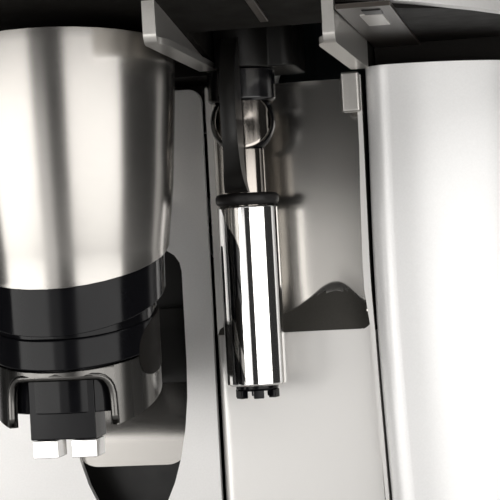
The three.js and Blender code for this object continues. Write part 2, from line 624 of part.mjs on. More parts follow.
function makeLiner() {
  const back = liner.front + liner.recess;
  const ramp = (inset) => {
    const points = [];
    for (let i = 0; i <= facets.corner * 2; i++) {
      const share = i / (facets.corner * 2);
      points.push(new THREE.Vector2(
        liner.front + inset + liner.recess * (1 - (1 - share) * Math.sqrt(1 - share)),
        liner.step + liner.ramp * share,
      ));
    }
    return points;
  };
  const low = bodyZ;
  const under = ceiling.rear - running;
  const widest = liner.right + liner.lean;
  const sheet = prismX([
    new THREE.Vector2(liner.front, low),
    ...ramp(0),
    new THREE.Vector2(back, liner.top),
    new THREE.Vector2(back + liner.wall, liner.top),
    ...ramp(liner.wall).reverse(),
    new THREE.Vector2(liner.front + liner.wall, low),
  ], liner.left, widest);
  const outline = prismY([
    new THREE.Vector2(liner.left, low),
    new THREE.Vector2(widest, low),
    new THREE.Vector2(liner.right, liner.step),
    new THREE.Vector2(liner.right, liner.top),
    new THREE.Vector2(liner.left, liner.top),
  ], liner.flangeFront - overrun, back + liner.sideDepth);
  const flangeFoot = grid.top + running;
  const leanShare = (liner.step - flangeFoot) / (liner.step - low);
  const footX = liner.right + liner.lean * leanShare;
  const flange = prismY([
    new THREE.Vector2(footX - liner.flange, flangeFoot),
    new THREE.Vector2(footX, flangeFoot),
    new THREE.Vector2(liner.right, liner.step),
    new THREE.Vector2(liner.right, under),
    new THREE.Vector2(liner.right - liner.flange, under),
    new THREE.Vector2(liner.right - liner.flange, liner.step),
  ], liner.flangeFront, back + liner.wall);
  const side = block(liner.left, liner.left + liner.flange, liner.front, liner.front + liner.sideDepth, low, under);
  const lugRight = liner.right - liner.flange / 2;
  const lug = prismY([
    new THREE.Vector2(lugRight - liner.lugWidth, liner.step),
    new THREE.Vector2(lugRight - liner.lugWidth / 2, liner.step - liner.lugDrop),
    new THREE.Vector2(lugRight, liner.step - liner.lugDrop),
    new THREE.Vector2(lugRight, liner.step + liner.lugRise),
    new THREE.Vector2(lugRight - liner.flange, liner.step + liner.lugRise),
    new THREE.Vector2(lugRight - liner.flange * 2, liner.step + liner.lugDrop),
  ], liner.front - liner.lugReach, liner.front + liner.wall);
  const narrow = block(
    liner.left - overrun, bay.left + seat, liner.front - overrun, liner.front + liner.sideDepth + overrun,
    under, liner.top + overrun,
  );
  const hole = rodY(hose.holeX, hose.holeZ, hose.radius + hose.wallHole, back - overrun, back + liner.wall + overrun, facets.small);
  piece('niche_liner', cut(join(common(sheet, outline), flange, side, lug), narrow, hole), colours.silver);
}

function makeCatchBlock() {
  const width = catchBlock.right - catchBlock.left;
  const quarter = Math.PI / 2;
  const outline = (x0, x1) => [
    ...arc(x0 + catchBlock.round, catchBlock.bottom + catchBlock.round, catchBlock.round, -Math.PI, -quarter, facets.corner),
    ...arc(x1 - catchBlock.round, catchBlock.bottom + catchBlock.round, catchBlock.round, -quarter, 0, facets.corner),
    new THREE.Vector2(x1, catchBlock.top),
    new THREE.Vector2(x0, catchBlock.top),
  ];
  const rear = liner.flangeFront - seat;
  const step = catchBlock.thickness * catchBlock.stripShare;
  const tab = prismY(outline(catchBlock.left, catchBlock.right), rear - catchBlock.thickness + step, rear);
  const stripLeft = catchBlock.right - width * catchBlock.stripShare;
  const groove = block(
    stripLeft - step, stripLeft, rear - catchBlock.thickness - overrun, rear - catchBlock.thickness + step * 2,
    catchBlock.bottom - overrun, catchBlock.top + overrun,
  );
  piece('catch_block', cut(tab, groove), colours.silver);
}

function makeSteamMount() {
  const left = Math.acos((mount.left - wand.x) / mount.noseRadius);
  const right = Math.asin((mount.shoulderY - wand.y) / mount.noseRadius);
  const round = mount.round;
  const quarter = Math.PI / 2;
  const outline = [
    ...arc(wand.x, wand.y, mount.noseRadius, -left, right, facets.corner * 2),
    ...arc(mount.right - round, mount.shoulderY + round, round, -quarter, 0, facets.corner),
    ...arc(mount.right - round, mount.rear - round, round, 0, quarter, facets.corner),
    ...arc(mount.left + round, mount.rear - round, round, quarter, Math.PI, facets.corner),
  ];
  piece('steam_mount', prismZ(outline, mount.bottom, bay.roof - seat), colours.black);
}

// The steam wand hangs from its ball, whose centre is the origin of this group

const wandGroup = new THREE.Group();
wandGroup.position.set(wand.x, wand.y, wand.ballZ);
root.add(wandGroup);

function ballShape(radius) {
  return new THREE.SphereGeometry(radius, facets.fine, facets.ballRows).rotateX(Math.PI / 2);
}

function makeSwivelCollar() {
  const profile = [
    [0, nut.bottom],
    [nut.radius - nut.chamfer, nut.bottom],
    [nut.radius, nut.bottom + nut.chamfer],
    [nut.radius, nut.top],
    [0, nut.top],
  ];
  const body = cut(turned(profile, facets.fine), ballShape(ball.radius + seat));
  piece('swivel_collar', body, colours.black, wandGroup);
}

function makeWandBall() {
  const barrel = rodZ(0, 0, ball.core, -ball.radius, ball.radius, facets.fine);
  const round = ballShape(ball.radius - weld);
  const lower = block(-ball.radius, ball.radius, -ball.radius, ball.radius, -ball.radius, 0);
  const across = (radius) => rodY(0, 0, radius, -ball.radius * 2, ball.radius * 2, facets.fine).rotateZ(ball.turn);
  piece('wand_ball', common(across(ball.window), barrel, join(round, lower)), colours.steel, wandGroup);
  piece('ball_band', cut(ballShape(ball.radius), across(ball.band)), colours.black, wandGroup);
}

function makeWandPipe() {
  const body = cut(rodZ(0, 0, pipe.radius, pipe.bottom, -ball.window, facets.small), ballShape(ball.radius + seat));
  piece('wand_pipe', body, colours.steel, wandGroup);
  const grip = turned([
    [pipe.radius + seat, ring.bottom],
    [ring.radius - ring.round, ring.bottom],
    [ring.radius, ring.bottom + ring.round],
    [ring.radius, ring.top - ring.round],
    [ring.radius - ring.round, ring.top],
    [pipe.radius + seat, ring.top],
    [pipe.radius + seat, ring.bottom],
  ], facets.fine);
  piece('wand_ring', grip, colours.rubber, wandGroup);
}

// A thin crescent that stands up in front of the nut, with a foot on the ring
function makeHandle() {
  const front = handle.z.map((z, i) => new THREE.Vector2(handle.front[i], z));
  const rear = handle.z.map((z, i) => new THREE.Vector2(handle.rear[i], z));
  const blade = prismX([...front, ...rear.reverse()], -handle.thickness / 2, handle.thickness / 2);
  const low = handle.z[0];
  const footPad = block(
    -handle.footWidth / 2, handle.footWidth / 2, handle.front[0], handle.front[0] + handle.footDepth,
    low, low + handle.footHeight,
  );
  piece('wand_handle', join(blade, footPad), colours.black, wandGroup);
}

function makeSleeve() {
  const top = ring.bottom - seat;
  const tube = tubeTurned(sleeve.radius, sleeve.radius - sleeve.wall, top - sleeve.length, top, facets.fine);
  piece('wand_sleeve', tube, colours.chrome, wandGroup);
}

// The tip closes the pipe and ends in three teeth
function makeTip() {
  const top = pipe.bottom - seat;
  const plug = turned([
    [tip.bore, tip.bottom + tip.chamfer],
    [tip.radius - tip.chamfer, tip.bottom],
    [tip.radius, tip.bottom + tip.chamfer],
    [tip.radius, top],
    [tip.bore, top],
    [tip.bore, tip.bottom + tip.chamfer],
  ], facets.round);
  const notches = [];
  for (let i = 0; i < tip.teeth; i++) {
    notches.push(block(0, tip.radius * 2, -tip.notch / 2, tip.notch / 2, tip.bottom - overrun, tip.bottom + tip.notchDepth)
      .rotateZ(Math.PI / 2 + 2 * Math.PI * i / tip.teeth));
  }
  piece('wand_tip', cut(plug, ...notches), colours.black, wandGroup);
}

// The door, with the column in front of it and the backing of its slot behind

function slotOutline(grow) {
  const half = slot.half + grow;
  const top = slot.top + grow;
  const quarter = Math.PI / 2;
  const lower = [];
  for (let i = 0; i <= facets.small; i++) {
    const angle = -Math.PI + Math.PI * i / facets.small;
    lower.push(new THREE.Vector2(half * Math.cos(angle), slot.curveZ + (slot.curveDrop + grow) * Math.sin(angle)));
  }
  return [
    ...lower,
    ...arc(half - slot.corner, top - slot.corner, slot.corner, 0, quarter, facets.corner),
    ...arc(-half + slot.corner, top - slot.corner, slot.corner, quarter, Math.PI, facets.corner),
  ];
}

function makeDoor() {
  const axisY = door.face + door.skin;
  const skin = prismY(roundedRect(door.left, door.right, door.bottom, door.top, door.corner), door.face, door.face + door.skin);
  const squared = block(door.left, 0, door.face, door.face + door.skin, door.bottom, door.top);
  const bead = rodZ(door.left, axisY, door.bead, door.bottom, door.top, facets.small);
  const rimLeft = door.left + door.rimInset;
  const rimRight = door.right - door.rimInset;
  const rimBottom = door.bottom + door.rimInset;
  const rimTop = door.top - door.rimInset;
  const rimBack = door.face + door.depth;
  const rim = cut(
    prismY(roundedRect(rimLeft, rimRight, rimBottom, rimTop, door.corner), door.face + door.skin / 2, rimBack),
    prismY(
      roundedRect(rimLeft + door.rim, rimRight - door.rim, rimBottom + door.rim, rimTop - door.rim, door.corner),
      door.face, rimBack + overrun,
    ),
  );
  const opening = prismY(slotOutline(0), door.face - overrun, door.face + door.skin + overrun);
  const bores = [
    rodZ(door.left, axisY, door.pin + seat, door.bottom - overrun, door.bottom + door.pinLength, facets.small),
    rodZ(door.left, axisY, door.pin + seat, door.top - door.pinLength - seat, door.top + overrun, facets.small),
  ];
  piece('door_panel', cut(join(skin, squared, bead, rim), opening, ...bores), colours.silver);
}

function makeBacking() {
  const front = door.face + door.skin + seat;
  const back = front + backing.depth;
  const body = block(-backing.half, backing.half, front, back, backing.bottom, backing.top);
  const pocket = block(
    -backing.half + backing.wall, backing.half - backing.wall, front - overrun, back - backing.wall,
    backing.bottom + backing.wall, backing.top - backing.wall,
  );
  piece('slide_backing', cut(body, pocket), colours.black);
}

function makeColumn() {
  const outer = columnProfile.z.map((z, i) => [columnProfile.r[i], z]);
  const inner = columnProfile.z.map((z, i) => [columnProfile.r[i] - column.wall, z]);
  const bottomZ = columnProfile.z[0];
  const topZ = columnProfile.z.at(-1);
  const solidCone = turned([[0, bottomZ], ...outer, [0, topZ]], facets.fine).translate(0, column.y, 0);
  const hollow = turned([[0, bottomZ - overrun], ...inner.slice(0, -2), [0, inner.at(-2)[1] - column.wall * 4]], facets.fine)
    .translate(0, column.y, 0);
  const neck = block(
    -column.neckHalf, column.neckHalf, column.y + columnProfile.r[0] - machine.wall, door.face - seat,
    column.neckBottom, ceiling.rear - running,
  );
  const trimmed = common(join(solidCone, neck), underSlope(column.y, column.topZ, -column.topTilt));
  const below = underSlope(column.y, column.bottomZ, column.tilt);
  piece('column_shell', cut(trimmed, hollow, below), colours.silver);
}

function makeCollar() {
  const tube = tubeTurned(collar.radius, collar.radius - collar.wall, columnProfile.z[0], columnProfile.z[3], facets.fine)
    .translate(0, column.y, 0);
  const slice = cut(
    common(tube, underSlope(column.y, column.bottomZ - seat, column.tilt)),
    underSlope(column.y, collar.bottomZ, column.tilt),
  );
  piece('dispenser_collar', slice, colours.black);
}

// The sliding dispenser: black housing, chrome hood, two nozzles and the carriage in the door

function makeSpoutHousing() {
  const about = (geometry) => geometry.translate(0, column.y, 0);
  const low = spout.bottom - overrun;
  const high = spout.sleeveTop;
  const ringBody = cut(
    common(about(rodZ(0, 0, spout.ringRadius, low, high, facets.fine)), underSlope(column.y, spout.ringTop, column.tilt)),
    underSlope(column.y, spout.ringBottom, column.tilt),
  );
  const core = common(
    about(rodZ(0, 0, spout.core, spout.coreBottom, high, facets.fine)),
    underSlope(column.y, spout.ringTop, column.tilt),
  );
  const tube = cut(
    about(tubeTurned(spout.sleeve, spout.sleeve - spout.sleeveWall, spout.coreBottom, high, facets.fine)),
    underSlope(column.y, spout.ringBottom, column.tilt),
  );
  const snout = block(-spout.half, spout.half, spout.front, spout.rear, spout.bottom, spout.coreBottom + spout.shoulder);
  piece('spout_housing', join(ringBody, core, tube, snout), colours.black);
}

function makeHood() {
  const inner = spout.core + seat;
  const tube = tubeTurned(hood.radius, inner, spout.bottom - overrun, spout.sleeveTop, facets.fine).translate(0, column.y, 0);
  const slice = cut(
    common(tube, underSlope(column.y, spout.ringBottom - seat, column.tilt)),
    underSlope(column.y, hood.bottomZ, hood.bottomTilt),
  );
  const low = spout.bottom - hood.radius;
  const arch = prismY(
    roundedRect(-hood.windowHalf, hood.windowHalf, low, hood.windowTop, hood.windowRound),
    column.y - hood.radius - overrun, column.y,
  );
  const rearGap = block(
    -carriage.armHalf - running, carriage.armHalf + running, column.y, column.y + hood.radius + overrun, low, spout.sleeveTop,
  );
  const ovalCut = (side) => prismX(
    ellipse(oval.y, oval.z, oval.halfY, oval.halfZ, facets.round),
    side > 0 ? oval.reach : -hood.radius - overrun, side > 0 ? hood.radius + overrun : -oval.reach,
  );
  piece('chrome_hood', cut(slice, arch, rearGap, ovalCut(1), ovalCut(-1)), colours.chrome);
}

function makeNozzles() {
  for (const [name, side] of [['nozzle_right', 1], ['nozzle_left', -1]]) {
    const left = side > 0 ? nozzle.inner : -nozzle.outer;
    const right = side > 0 ? nozzle.outer : -nozzle.inner;
    const top = spout.bottom - seat;
    const body = block(left, right, nozzle.front, nozzle.rear, nozzle.bottom, top);
    const bore = block(
      left + nozzle.wall, right - nozzle.wall, nozzle.front + nozzle.wall, nozzle.rear - nozzle.wall,
      nozzle.bottom - overrun, top + overrun,
    );
    piece(name, cut(body, bore), colours.chrome);
  }
}

function makeCarriage() {
  const front = door.face + door.skin + seat;
  const armTop = spout.ringBottom - running;
  const shoe = block(-carriage.half, carriage.half, front, front + carriage.depth, carriage.plateTop, carriage.top);
  const arm = block(
    -carriage.armHalf, carriage.armHalf, column.y + spout.core + seat, front + carriage.depth / 2,
    spout.coreBottom - carriage.armHalf, armTop,
  );
  const plate = prismY(
    roundedRect(-carriage.half, carriage.half, carriage.plateBottom, carriage.top, carriage.corner),
    front, front + carriage.plateThickness,
  );
  piece('dispenser_carriage', join(shoe, arm, plate), colours.silver);
}

// The tray slides out with the drawer standing on its tail

function bowedOutline(radius, half, rear, corner) {
  const centreY = frontY + machine.frontRadius;
  const turn = Math.asin(half / radius);
  const quarter = Math.PI / 2;
  return [
    ...arc(0, centreY, radius, -quarter - turn, -quarter + turn, facets.front),
    ...arc(half - corner, rear - corner, corner, 0, quarter, facets.corner),
    ...arc(-half + corner, rear - corner, corner, quarter, Math.PI, facets.corner),
  ];
}

function makeTray() {
  const body = prismZ(bowedOutline(gridFrontRadius, tray.half, tray.rear, tray.corner), trayZ, tray.top);
  const pocket = prismZ(
    bowedOutline(gridFrontRadius - tray.wall, tray.half - tray.wall, tray.rear - tray.wall, tray.corner - tray.wall),
    trayZ + tray.wall, tray.top + overrun,
  );
  const tail = block(tray.tailLeft, tray.tailRight, tray.rear - tray.wall, tray.tailRear, trayZ, trayZ + tray.wall);
  piece('drip_tray', join(cut(body, pocket), tail), colours.darkGrey);
}

function makeTrayFront() {
  const centreY = frontY + machine.frontRadius;
  const turn = Math.asin(fascia.half / machine.frontRadius);
  const quarter = Math.PI / 2;
  const inner = machine.frontRadius - fascia.thickness;
  const innerTurn = Math.asin(fascia.half / inner);
  const plan = [
    ...arc(0, centreY, machine.frontRadius, -quarter - turn, -quarter + turn, facets.front),
    ...arc(0, centreY, inner, -quarter + innerTurn, -quarter - innerTurn, facets.front),
  ];
  const body = prismZ(plan, trayZ, fascia.top);
  const grip = prismY(
    ellipse(0, trayZ, fascia.gripHalf, fascia.gripDrop, facets.round),
    frontY - overrun, frontY + fascia.thickness + overrun,
  );
  piece('tray_front', cut(body, grip), colours.silver);
}

function makeGrid() {
  const plate = prismZ(
    bowedOutline(gridFrontRadius, tray.half, tray.rear, tray.corner), gridZ, grid.top,
  );
  const slots = [];
  const middle = (grid.slots - 1) / 2;
  for (let i = 0; i < grid.slots; i++) {
    const x = (i - middle) * grid.pitch;
    const left = x - grid.slotWidth / 2;
    const rearEnd = Math.abs(x) < float.keepOut ? float.y - float.keepOut : grid.rearRow[1];
    slots.push(block(left, left + grid.slotWidth, frontY + grid.setback, grid.frontRowEnd, gridZ - overrun, grid.top + overrun));
    slots.push(block(left, left + grid.slotWidth, grid.rearRow[0], rearEnd, gridZ - overrun, grid.top + overrun));
  }
  const floatHole = rodZ(float.x, float.y, float.radius + running, gridZ - overrun, grid.top + overrun, facets.small);
  piece('cup_grid', cut(plate, ...slots, floatHole), colours.steel);
}

function makeFloat() {
  const low = trayZ + tray.wall + seat;
  const profile = [
    [0, low],
    [float.radius, low],
    [float.radius, float.top - float.dome],
    [float.radius - float.dome, float.top],
    [0, float.top],
  ];
  piece('tray_float', turned(profile, facets.small), colours.red).position.set(float.x, float.y, 0);
}

function makeDrawer() {
  const low = trayZ + tray.wall + seat;
  const wall = drawer.wall;
  const body = prismZ(roundedRect(drawer.left, drawer.right, drawer.front, drawer.rear, drawer.corner), low, drawer.top);
  const pocket = prismZ(
    roundedRect(drawer.left + wall, drawer.right - wall, drawer.front + wall, drawer.rear - wall, drawer.corner - wall),
    low + wall, drawer.top + overrun,
  );
  const middle = (drawer.left + drawer.right) / 2;
  const grip = prismY(
    ellipse(middle, drawer.top, drawer.gripHalf, drawer.gripDrop, facets.small),
    drawer.front - overrun, drawer.front + wall + overrun,
  );
  piece('grounds_drawer', cut(body, pocket, grip), colours.black);
}

// The top: cover, cup plate, bean hopper, coffee chute and water tank

function makeTopCover() {
  const cover = prismZ(housingOutline(consoleFront, deck.inset), deckZ, deckTop);
  const hole = (box, border, corner) => prismZ(
    roundedRect(box.left + border, box.right - border, box.front + border, box.rear - border, corner),
    deckZ - overrun, deckTop + overrun,
  );
  const open = cut(
    cover,
    hole(hopper, hopper.border - running, hopper.corner),
    hole(tank, tank.border - running, tank.corner),
  );
  const middleX = (doser.left + doser.right) / 2;
  const middleY = (doser.front + doser.rear) / 2;
  const mouth = (inset) => roundedRect(
    doser.left + doser.border + inset, doser.right - doser.border - inset,
    doser.front + doser.border + inset, doser.rear - doser.border - inset, doser.corner - inset,
  );
  const throat = (inset) => {
    const radius = doser.throat - inset;
    return roundedRect(middleX - radius, middleX + radius, middleY - radius, middleY + radius, radius * roundShare);
  };
  const chute = loft([ringAt(throat(0), doser.throatZ), ringAt(mouth(0), deckZ + deck.thickness / 2)]);
  const inside = loft([
    ringAt(throat(doser.wall), doser.throatZ - overrun / 2),
    ringAt(throat(doser.wall), doser.throatZ),
    ringAt(mouth(doser.wall), deckZ),
    ringAt(mouth(doser.wall), deckTop + overrun),
  ]);
  piece('top_cover', cut(join(open, chute), inside), colours.silver);
}

function makeCupPlate() {
  const z0 = deckTop + seat;
  const body = prismZ(roundedRect(-cupPlate.half, cupPlate.half, cupPlateFront, cupPlateRear, cupPlate.corner), z0, z0 + cupPlate.height);
  const inset = cupPlate.border;
  const dish = prismZ(
    roundedRect(
      -cupPlate.half + inset, cupPlate.half - inset, cupPlateFront + inset, cupPlateRear - inset, cupPlate.corner - inset,
    ),
    z0 + cupPlate.floor, z0 + cupPlate.height + overrun,
  );
  const ribs = [];
  const span = 2 * (cupPlate.half - inset) / (cupPlate.ribs + 1);
  for (let i = 1; i <= cupPlate.ribs; i++) {
    const x = -cupPlate.half + inset + span * i;
    ribs.push(block(
      x - cupPlate.ribWidth / 2, x + cupPlate.ribWidth / 2, cupPlateFront + inset * 2, cupPlateRear - inset * 2,
      z0 + cupPlate.floor / 2, z0 + cupPlate.floor + cupPlate.ribHeight,
    ));
  }
  piece('cup_plate', join(cut(body, dish), ...ribs), colours.steel);
}

function hopperRings(inset) {
  const border = hopper.border + inset;
  const wide = roundedRect(
    hopper.left + border, hopper.right - border, hopper.front + border, hopper.rear - border, hopper.corner - inset,
  );
  const radius = hopperThroat - inset;
  const throat = roundedRect(
    motor.x - radius, motor.x + radius, motorY - radius, motorY + radius, radius * roundShare,
  );
  return { wide, throat };
}

function makeHopper() {
  const top = flangeZ + hopper.flange;
  const low = grinderTop + seat;
  const outer = hopperRings(0);
  const inner = hopperRings(hopper.wall);
  const wall = loft([
    ringAt(outer.throat, low),
    ringAt(outer.throat, low + hopper.border),
    ringAt(outer.wide, hopper.shelf),
    ringAt(outer.wide, top),
  ]);
  const inside = loft([
    ringAt(inner.throat, low - overrun / 2),
    ringAt(inner.throat, low + hopper.border),
    ringAt(inner.wide, hopper.shelf + hopper.wall),
    ringAt(inner.wide, top + overrun),
  ]);
  const flange = prismZ(roundedRect(hopper.left, hopper.right, hopper.front, hopper.rear, hopper.corner), flangeZ, top);
  piece('bean_hopper', cut(join(wall, flange), inside), colours.smoke);
}

// A lid is a crowned shell, open below, that turns about its rear edge
function makeLid(name, box, z, height, finish, parent) {
  const rimAt = (inset, level) => ringAt(
    roundedRect(box.left + inset, box.right - inset, box.front + inset, box.rear - inset, box.corner - inset / 2), level,
  );
  const shell = loft([rimAt(0, z), rimAt(lid.edge, z + height * crownShare), rimAt(lid.crown, z + height)]);
  const inside = loft([rimAt(lid.wall, z - overrun), rimAt(lid.wall + lid.edge, z + height - lid.wall)]);
  piece(name, cut(shell, inside), finish, parent);
}

function makeTank() {
  const top = flangeZ + tank.flange;
  const low = baseTop + seat;
  const rimAt = (inset, z) => ringAt(roundedRect(
    tank.left + tank.border + inset, tank.right - tank.border - inset,
    tank.front + tank.border + inset, tank.rear - tank.border - inset, tank.corner - inset / 2,
  ), z);
  const body = loft([rimAt(tank.taper, low), rimAt(0, top)]);
  const inside = loft([rimAt(tank.taper + tank.wall, low + tank.wall), rimAt(tank.wall, top + overrun)]);
  const flange = prismZ(roundedRect(tank.left, tank.right, tank.front, tank.rear, tank.corner), flangeZ, top);
  piece('water_tank', cut(join(body, flange), inside), colours.clear);
}

// Controls

function makeButtons() {
  const names = ['button_one_cup', 'button_two_cups', 'button_steam'];
  const profile = [
    [0, -button.stem],
    [button.radius, -button.stem],
    [button.radius, button.proud - button.dome],
    [button.radius - button.dome, button.proud],
    [0, button.proud],
  ];
  for (let i = 0; i < button.count; i++) {
    placeOnFascia(piece(names[i], turned(profile, facets.small + facets.tube), colours.chrome), buttonX(i), button.share);
  }
}

function makeKnob() {
  const grip = [];
  const steps = knob.flutes * 4;
  for (let i = 0; i < steps; i++) {
    const angle = 2 * Math.PI * i / steps;
    const radius = knob.radius * (1 - knob.fluteShare * (1 + Math.cos(knob.flutes * angle)) / 2);
    grip.push(new THREE.Vector2(radius * Math.cos(angle), radius * Math.sin(angle)));
  }
  const narrow = grip.map((p) => p.clone().multiplyScalar(1 - knob.fluteShare));
  const body = loft([
    ringAt(grip, knob.lift),
    ringAt(grip, knob.lift + knob.height * crownShare),
    ringAt(narrow, knob.lift + knob.height),
  ]);
  const shaft = rodZ(0, 0, knob.shaft, -knob.shaftLength, knob.lift + knob.height / 2, facets.small);
  placeOnFascia(piece('steam_knob', join(body, shaft), colours.black), knob.x, knob.share);
}

// Inside the housing

function makeInnerFrame() {
  const low = floorTop + seat;
  const walls = [
    block(frame.left, frame.left + frame.wall, frame.front, frameRear, low, frame.top),
    block(frame.right - frame.wall, frame.right, frame.front, frameRear, low, frame.top),
  ];
  const shelves = [frame.lowShelf, frame.highShelf].map((z) => block(
    frame.left + frame.wall / 2, frame.right - frame.wall / 2, frame.front, frameRear, z, z + frame.wall,
  ));
  const groundsGap = block(
    brew.left + brew.post, brew.right - brew.post, brew.front + brew.post, brew.rear - brew.post,
    frame.lowShelf - overrun, lowShelfTop + overrun,
  );
  const chuteGap = rodZ(motor.x, brew.rear, brew.chute, frame.highShelf - overrun, highShelfTop + overrun, facets.small);
  const pinY = door.face + door.skin;
  const armTop = door.bottom - running;
  const arm = block(door.left - door.bead, door.left + door.bead, pinY - door.bead, frame.front, armTop - frame.bracketDrop, armTop);
  const tie = block(
    frame.left, door.left + door.bead, frame.front - frame.wall * 2, frame.front + frame.wall, armTop - frame.bracketDrop, armTop,
  );
  const pin = rodZ(door.left, pinY, door.pin, armTop - door.pin, door.bottom + door.pinLength - running, facets.small);
  piece('inner_frame', join(cut(join(...walls, ...shelves), groundsGap, chuteGap), arm, tie, pin), colours.darkGrey);
}

function makeBrewUnit() {
  const z0 = lowShelfTop + seat;
  const middleX = (brew.left + brew.right) / 2;
  const middleY = (brew.front + brew.rear) / 2;
  const side = (x) => block(x, x + brew.post, brew.front, brew.rear, z0, z0 + brew.height);
  const bridge = block(
    brew.left, brew.right, middleY - brew.chamber, middleY + brew.chamber, z0 + brew.height - brew.post * 2, z0 + brew.height - brew.post,
  );
  const chamber = rodZ(middleX, middleY, brew.chamber, z0 + brew.post, z0 + brew.chamberTop - brew.post);
  const head = rodZ(middleX, middleY, brew.chamber + brew.post / 2, z0 + brew.height / 2, z0 + brew.height);
  const bore = rodZ(middleX, middleY, brew.chamber - brew.post / 2, z0 + brew.height, z0 + brew.chamberTop);
  piece('brew_unit', cut(join(side(brew.left), side(brew.right - brew.post), bridge, chamber, head), bore), colours.darkGrey);
}

function makeBoiler() {
  const z0 = lowShelfTop + seat;
  const r = boiler.radius;
  const vessel = turned([
    [0, z0],
    [r - boiler.dome, z0],
    [r, z0 + boiler.dome],
    [r, z0 + boiler.height - boiler.dome],
    [r - boiler.dome, z0 + boiler.height],
    [boiler.fitting, z0 + boiler.height],
    [boiler.fitting, z0 + boiler.height + boiler.fitting],
    [0, z0 + boiler.height + boiler.fitting],
  ], facets.small * 2);
  const belt = tubeTurned(r + boiler.fitting / 2, r - boiler.fitting, z0 + boiler.height / 2, z0 + boiler.height / 2 + boiler.fitting);
  piece('boiler', join(vessel, belt), colours.steel).position.set(boiler.x, boilerY, 0);
}

function makePump() {
  const z0 = lowShelfTop + seat;
  const z = z0 + pump.radius + machine.wall;
  const body = rodY(pump.x, z, pump.radius, pumpFront, pumpRear, facets.small + facets.tube);
  const neck = rodY(pump.x, z, pump.neck, pumpFront - pump.neckLength, pumpFront + pump.neck, facets.small);
  const cradle = block(
    pump.x - pump.footHalf, pump.x + pump.footHalf, pumpFront + pump.neck, pumpRear - pump.neck, z0, z - pump.neck,
  );
  piece('pump', join(body, neck, cradle), colours.brass);
}

function makeGrinder() {
  const z0 = highShelfTop + seat;
  const top = z0 + motor.height;
  const shell = turned([
    [0, z0], [motor.radius, z0], [motor.radius, top], [motor.shaft, top], [motor.shaft, motor.shaftTop], [0, motor.shaftTop],
  ], facets.round);
  piece('grinder_motor', shell, colours.darkGrey).position.set(motor.x, motorY, 0);
  const ringZ = top + seat;
  const burrZ = top + running;
  const toothed = (radius, depthShare, phase, steps) => {
    const points = [];
    for (let i = 0; i < steps; i++) {
      const angle = 2 * Math.PI * i / steps;
      const r = radius * (1 - depthShare * (1 + Math.cos(burr.teeth * angle + phase)) / 2);
      points.push(new THREE.Vector2(r * Math.cos(angle), r * Math.sin(angle)));
    }
    return points;
  };
  const steps = burr.teeth * 4;
  const cone = [];
  const levels = burr.levels;
  for (let i = 0; i <= levels; i++) {
    const share = i / levels;
    const radius = burr.radius + (burr.topRadius - burr.radius) * share * share;
    cone.push(ringAt(toothed(radius, burr.toothShare, burr.twist * i, steps), burrZ + burr.height * share));
  }
  const shaftBore = rodZ(0, 0, motor.shaft + running, burrZ - overrun, burrZ + burr.height + overrun, facets.small);
  piece('lower_burr', cut(loft(cone), shaftBore), colours.steel).position.set(motor.x, motorY, 0);
  const mouth = loft([
    ringAt(toothed(burr.ringInner, burr.toothShare / 2, 0, steps), ringZ - overrun),
    ringAt(toothed(burr.ringInner, burr.toothShare / 2, 0, steps), ringZ + burr.ringHeight + overrun),
  ]);
  const blank = rodZ(0, 0, burr.ringRadius, ringZ, ringZ + burr.ringHeight);
  piece('upper_burr', cut(blank, mouth), colours.steel).position.set(motor.x, motorY, 0);
}

function makeBoard() {
  const right = frame.left - seat;
  const left = right - board.thickness;
  const sheet = block(left, right, board.front, boardRear, board.bottom, board.top);
  const length = boardRear - board.front;
  const height = board.top - board.bottom;
  const parts = boardShares.map(([y0, y1, z0, z1, depth]) => block(
    left - board.partDepth * depth, left + board.thickness / 2,
    board.front + length * y0, board.front + length * y1,
    board.bottom + height * z0, board.bottom + height * z1,
  ));
  piece('control_board', join(sheet, ...parts), colours.green);
}

function makeHose() {
  const boilerTop = lowShelfTop + seat + boiler.height + boiler.fitting + seat;
  const passZ = frame.highShelf - hose.radius * 2;
  const route = [
    [boiler.x, boilerY, boilerTop],
    [boiler.x, boilerY, boilerTop + hose.radius * 4],
    [boiler.x + hose.radius, boilerY / 2, passZ],
    [brew.right, frame.front / 2, passZ],
    [brew.right + brew.post, frame.front - hose.radius, passZ],
    [frame.right + hose.radius * 3, frame.front - hose.radius * 3, frame.highShelf + brew.post * 2],
    [hose.holeX, liner.front + liner.sideDepth + hose.radius * 3, hose.holeZ],
    [hose.holeX, liner.front + liner.sideDepth, hose.holeZ],
    [hose.holeX, mount.rear + seat, hose.holeZ],
  ].map(([x, y, z]) => new THREE.Vector3(x, y, z));
  const curve = new THREE.CatmullRomCurve3(route, false, 'centripetal');
  const section = new THREE.Shape(ellipse(0, 0, hose.radius, hose.radius, facets.tube));
  const tube = new THREE.ExtrudeGeometry(section, { steps: facets.fine, extrudePath: curve, bevelEnabled: false });
  piece('steam_hose', tube, colours.white);
}

makeFeet();
makeBasePan();
makeSidePanels();
makeRearPanel();
makePowerInlet();
makeRocker();
makeConsoleShell();
makeDisplay();
makeUnderside();
makeFin('bay_fin_left', finLeft, 1);
makeFin('bay_fin_right', finRight, -1);
makeLiner();
makeCatchBlock();
makeSteamMount();
makeSwivelCollar();
makeWandBall();
makeWandPipe();
makeHandle();
makeSleeve();
makeTip();
makeDoor();
makeBacking();
makeColumn();
makeCollar();
makeSpoutHousing();
makeHood();
makeNozzles();
makeCarriage();
makeTray();
makeTrayFront();
makeGrid();
makeFloat();
makeDrawer();
makeTopCover();
makeCupPlate();
makeHopper();
makeLid('hopper_lid', hopper, lidZ, lid.height, colours.smoke);
makeTank();
makeLid('tank_lid', tank, tankLidZ, tank.lidHeight, colours.smoke);
makeLid('doser_lid', doser, doserLidZ, doser.lidHeight, colours.black);
makeButtons();
makeKnob();
makeInnerFrame();
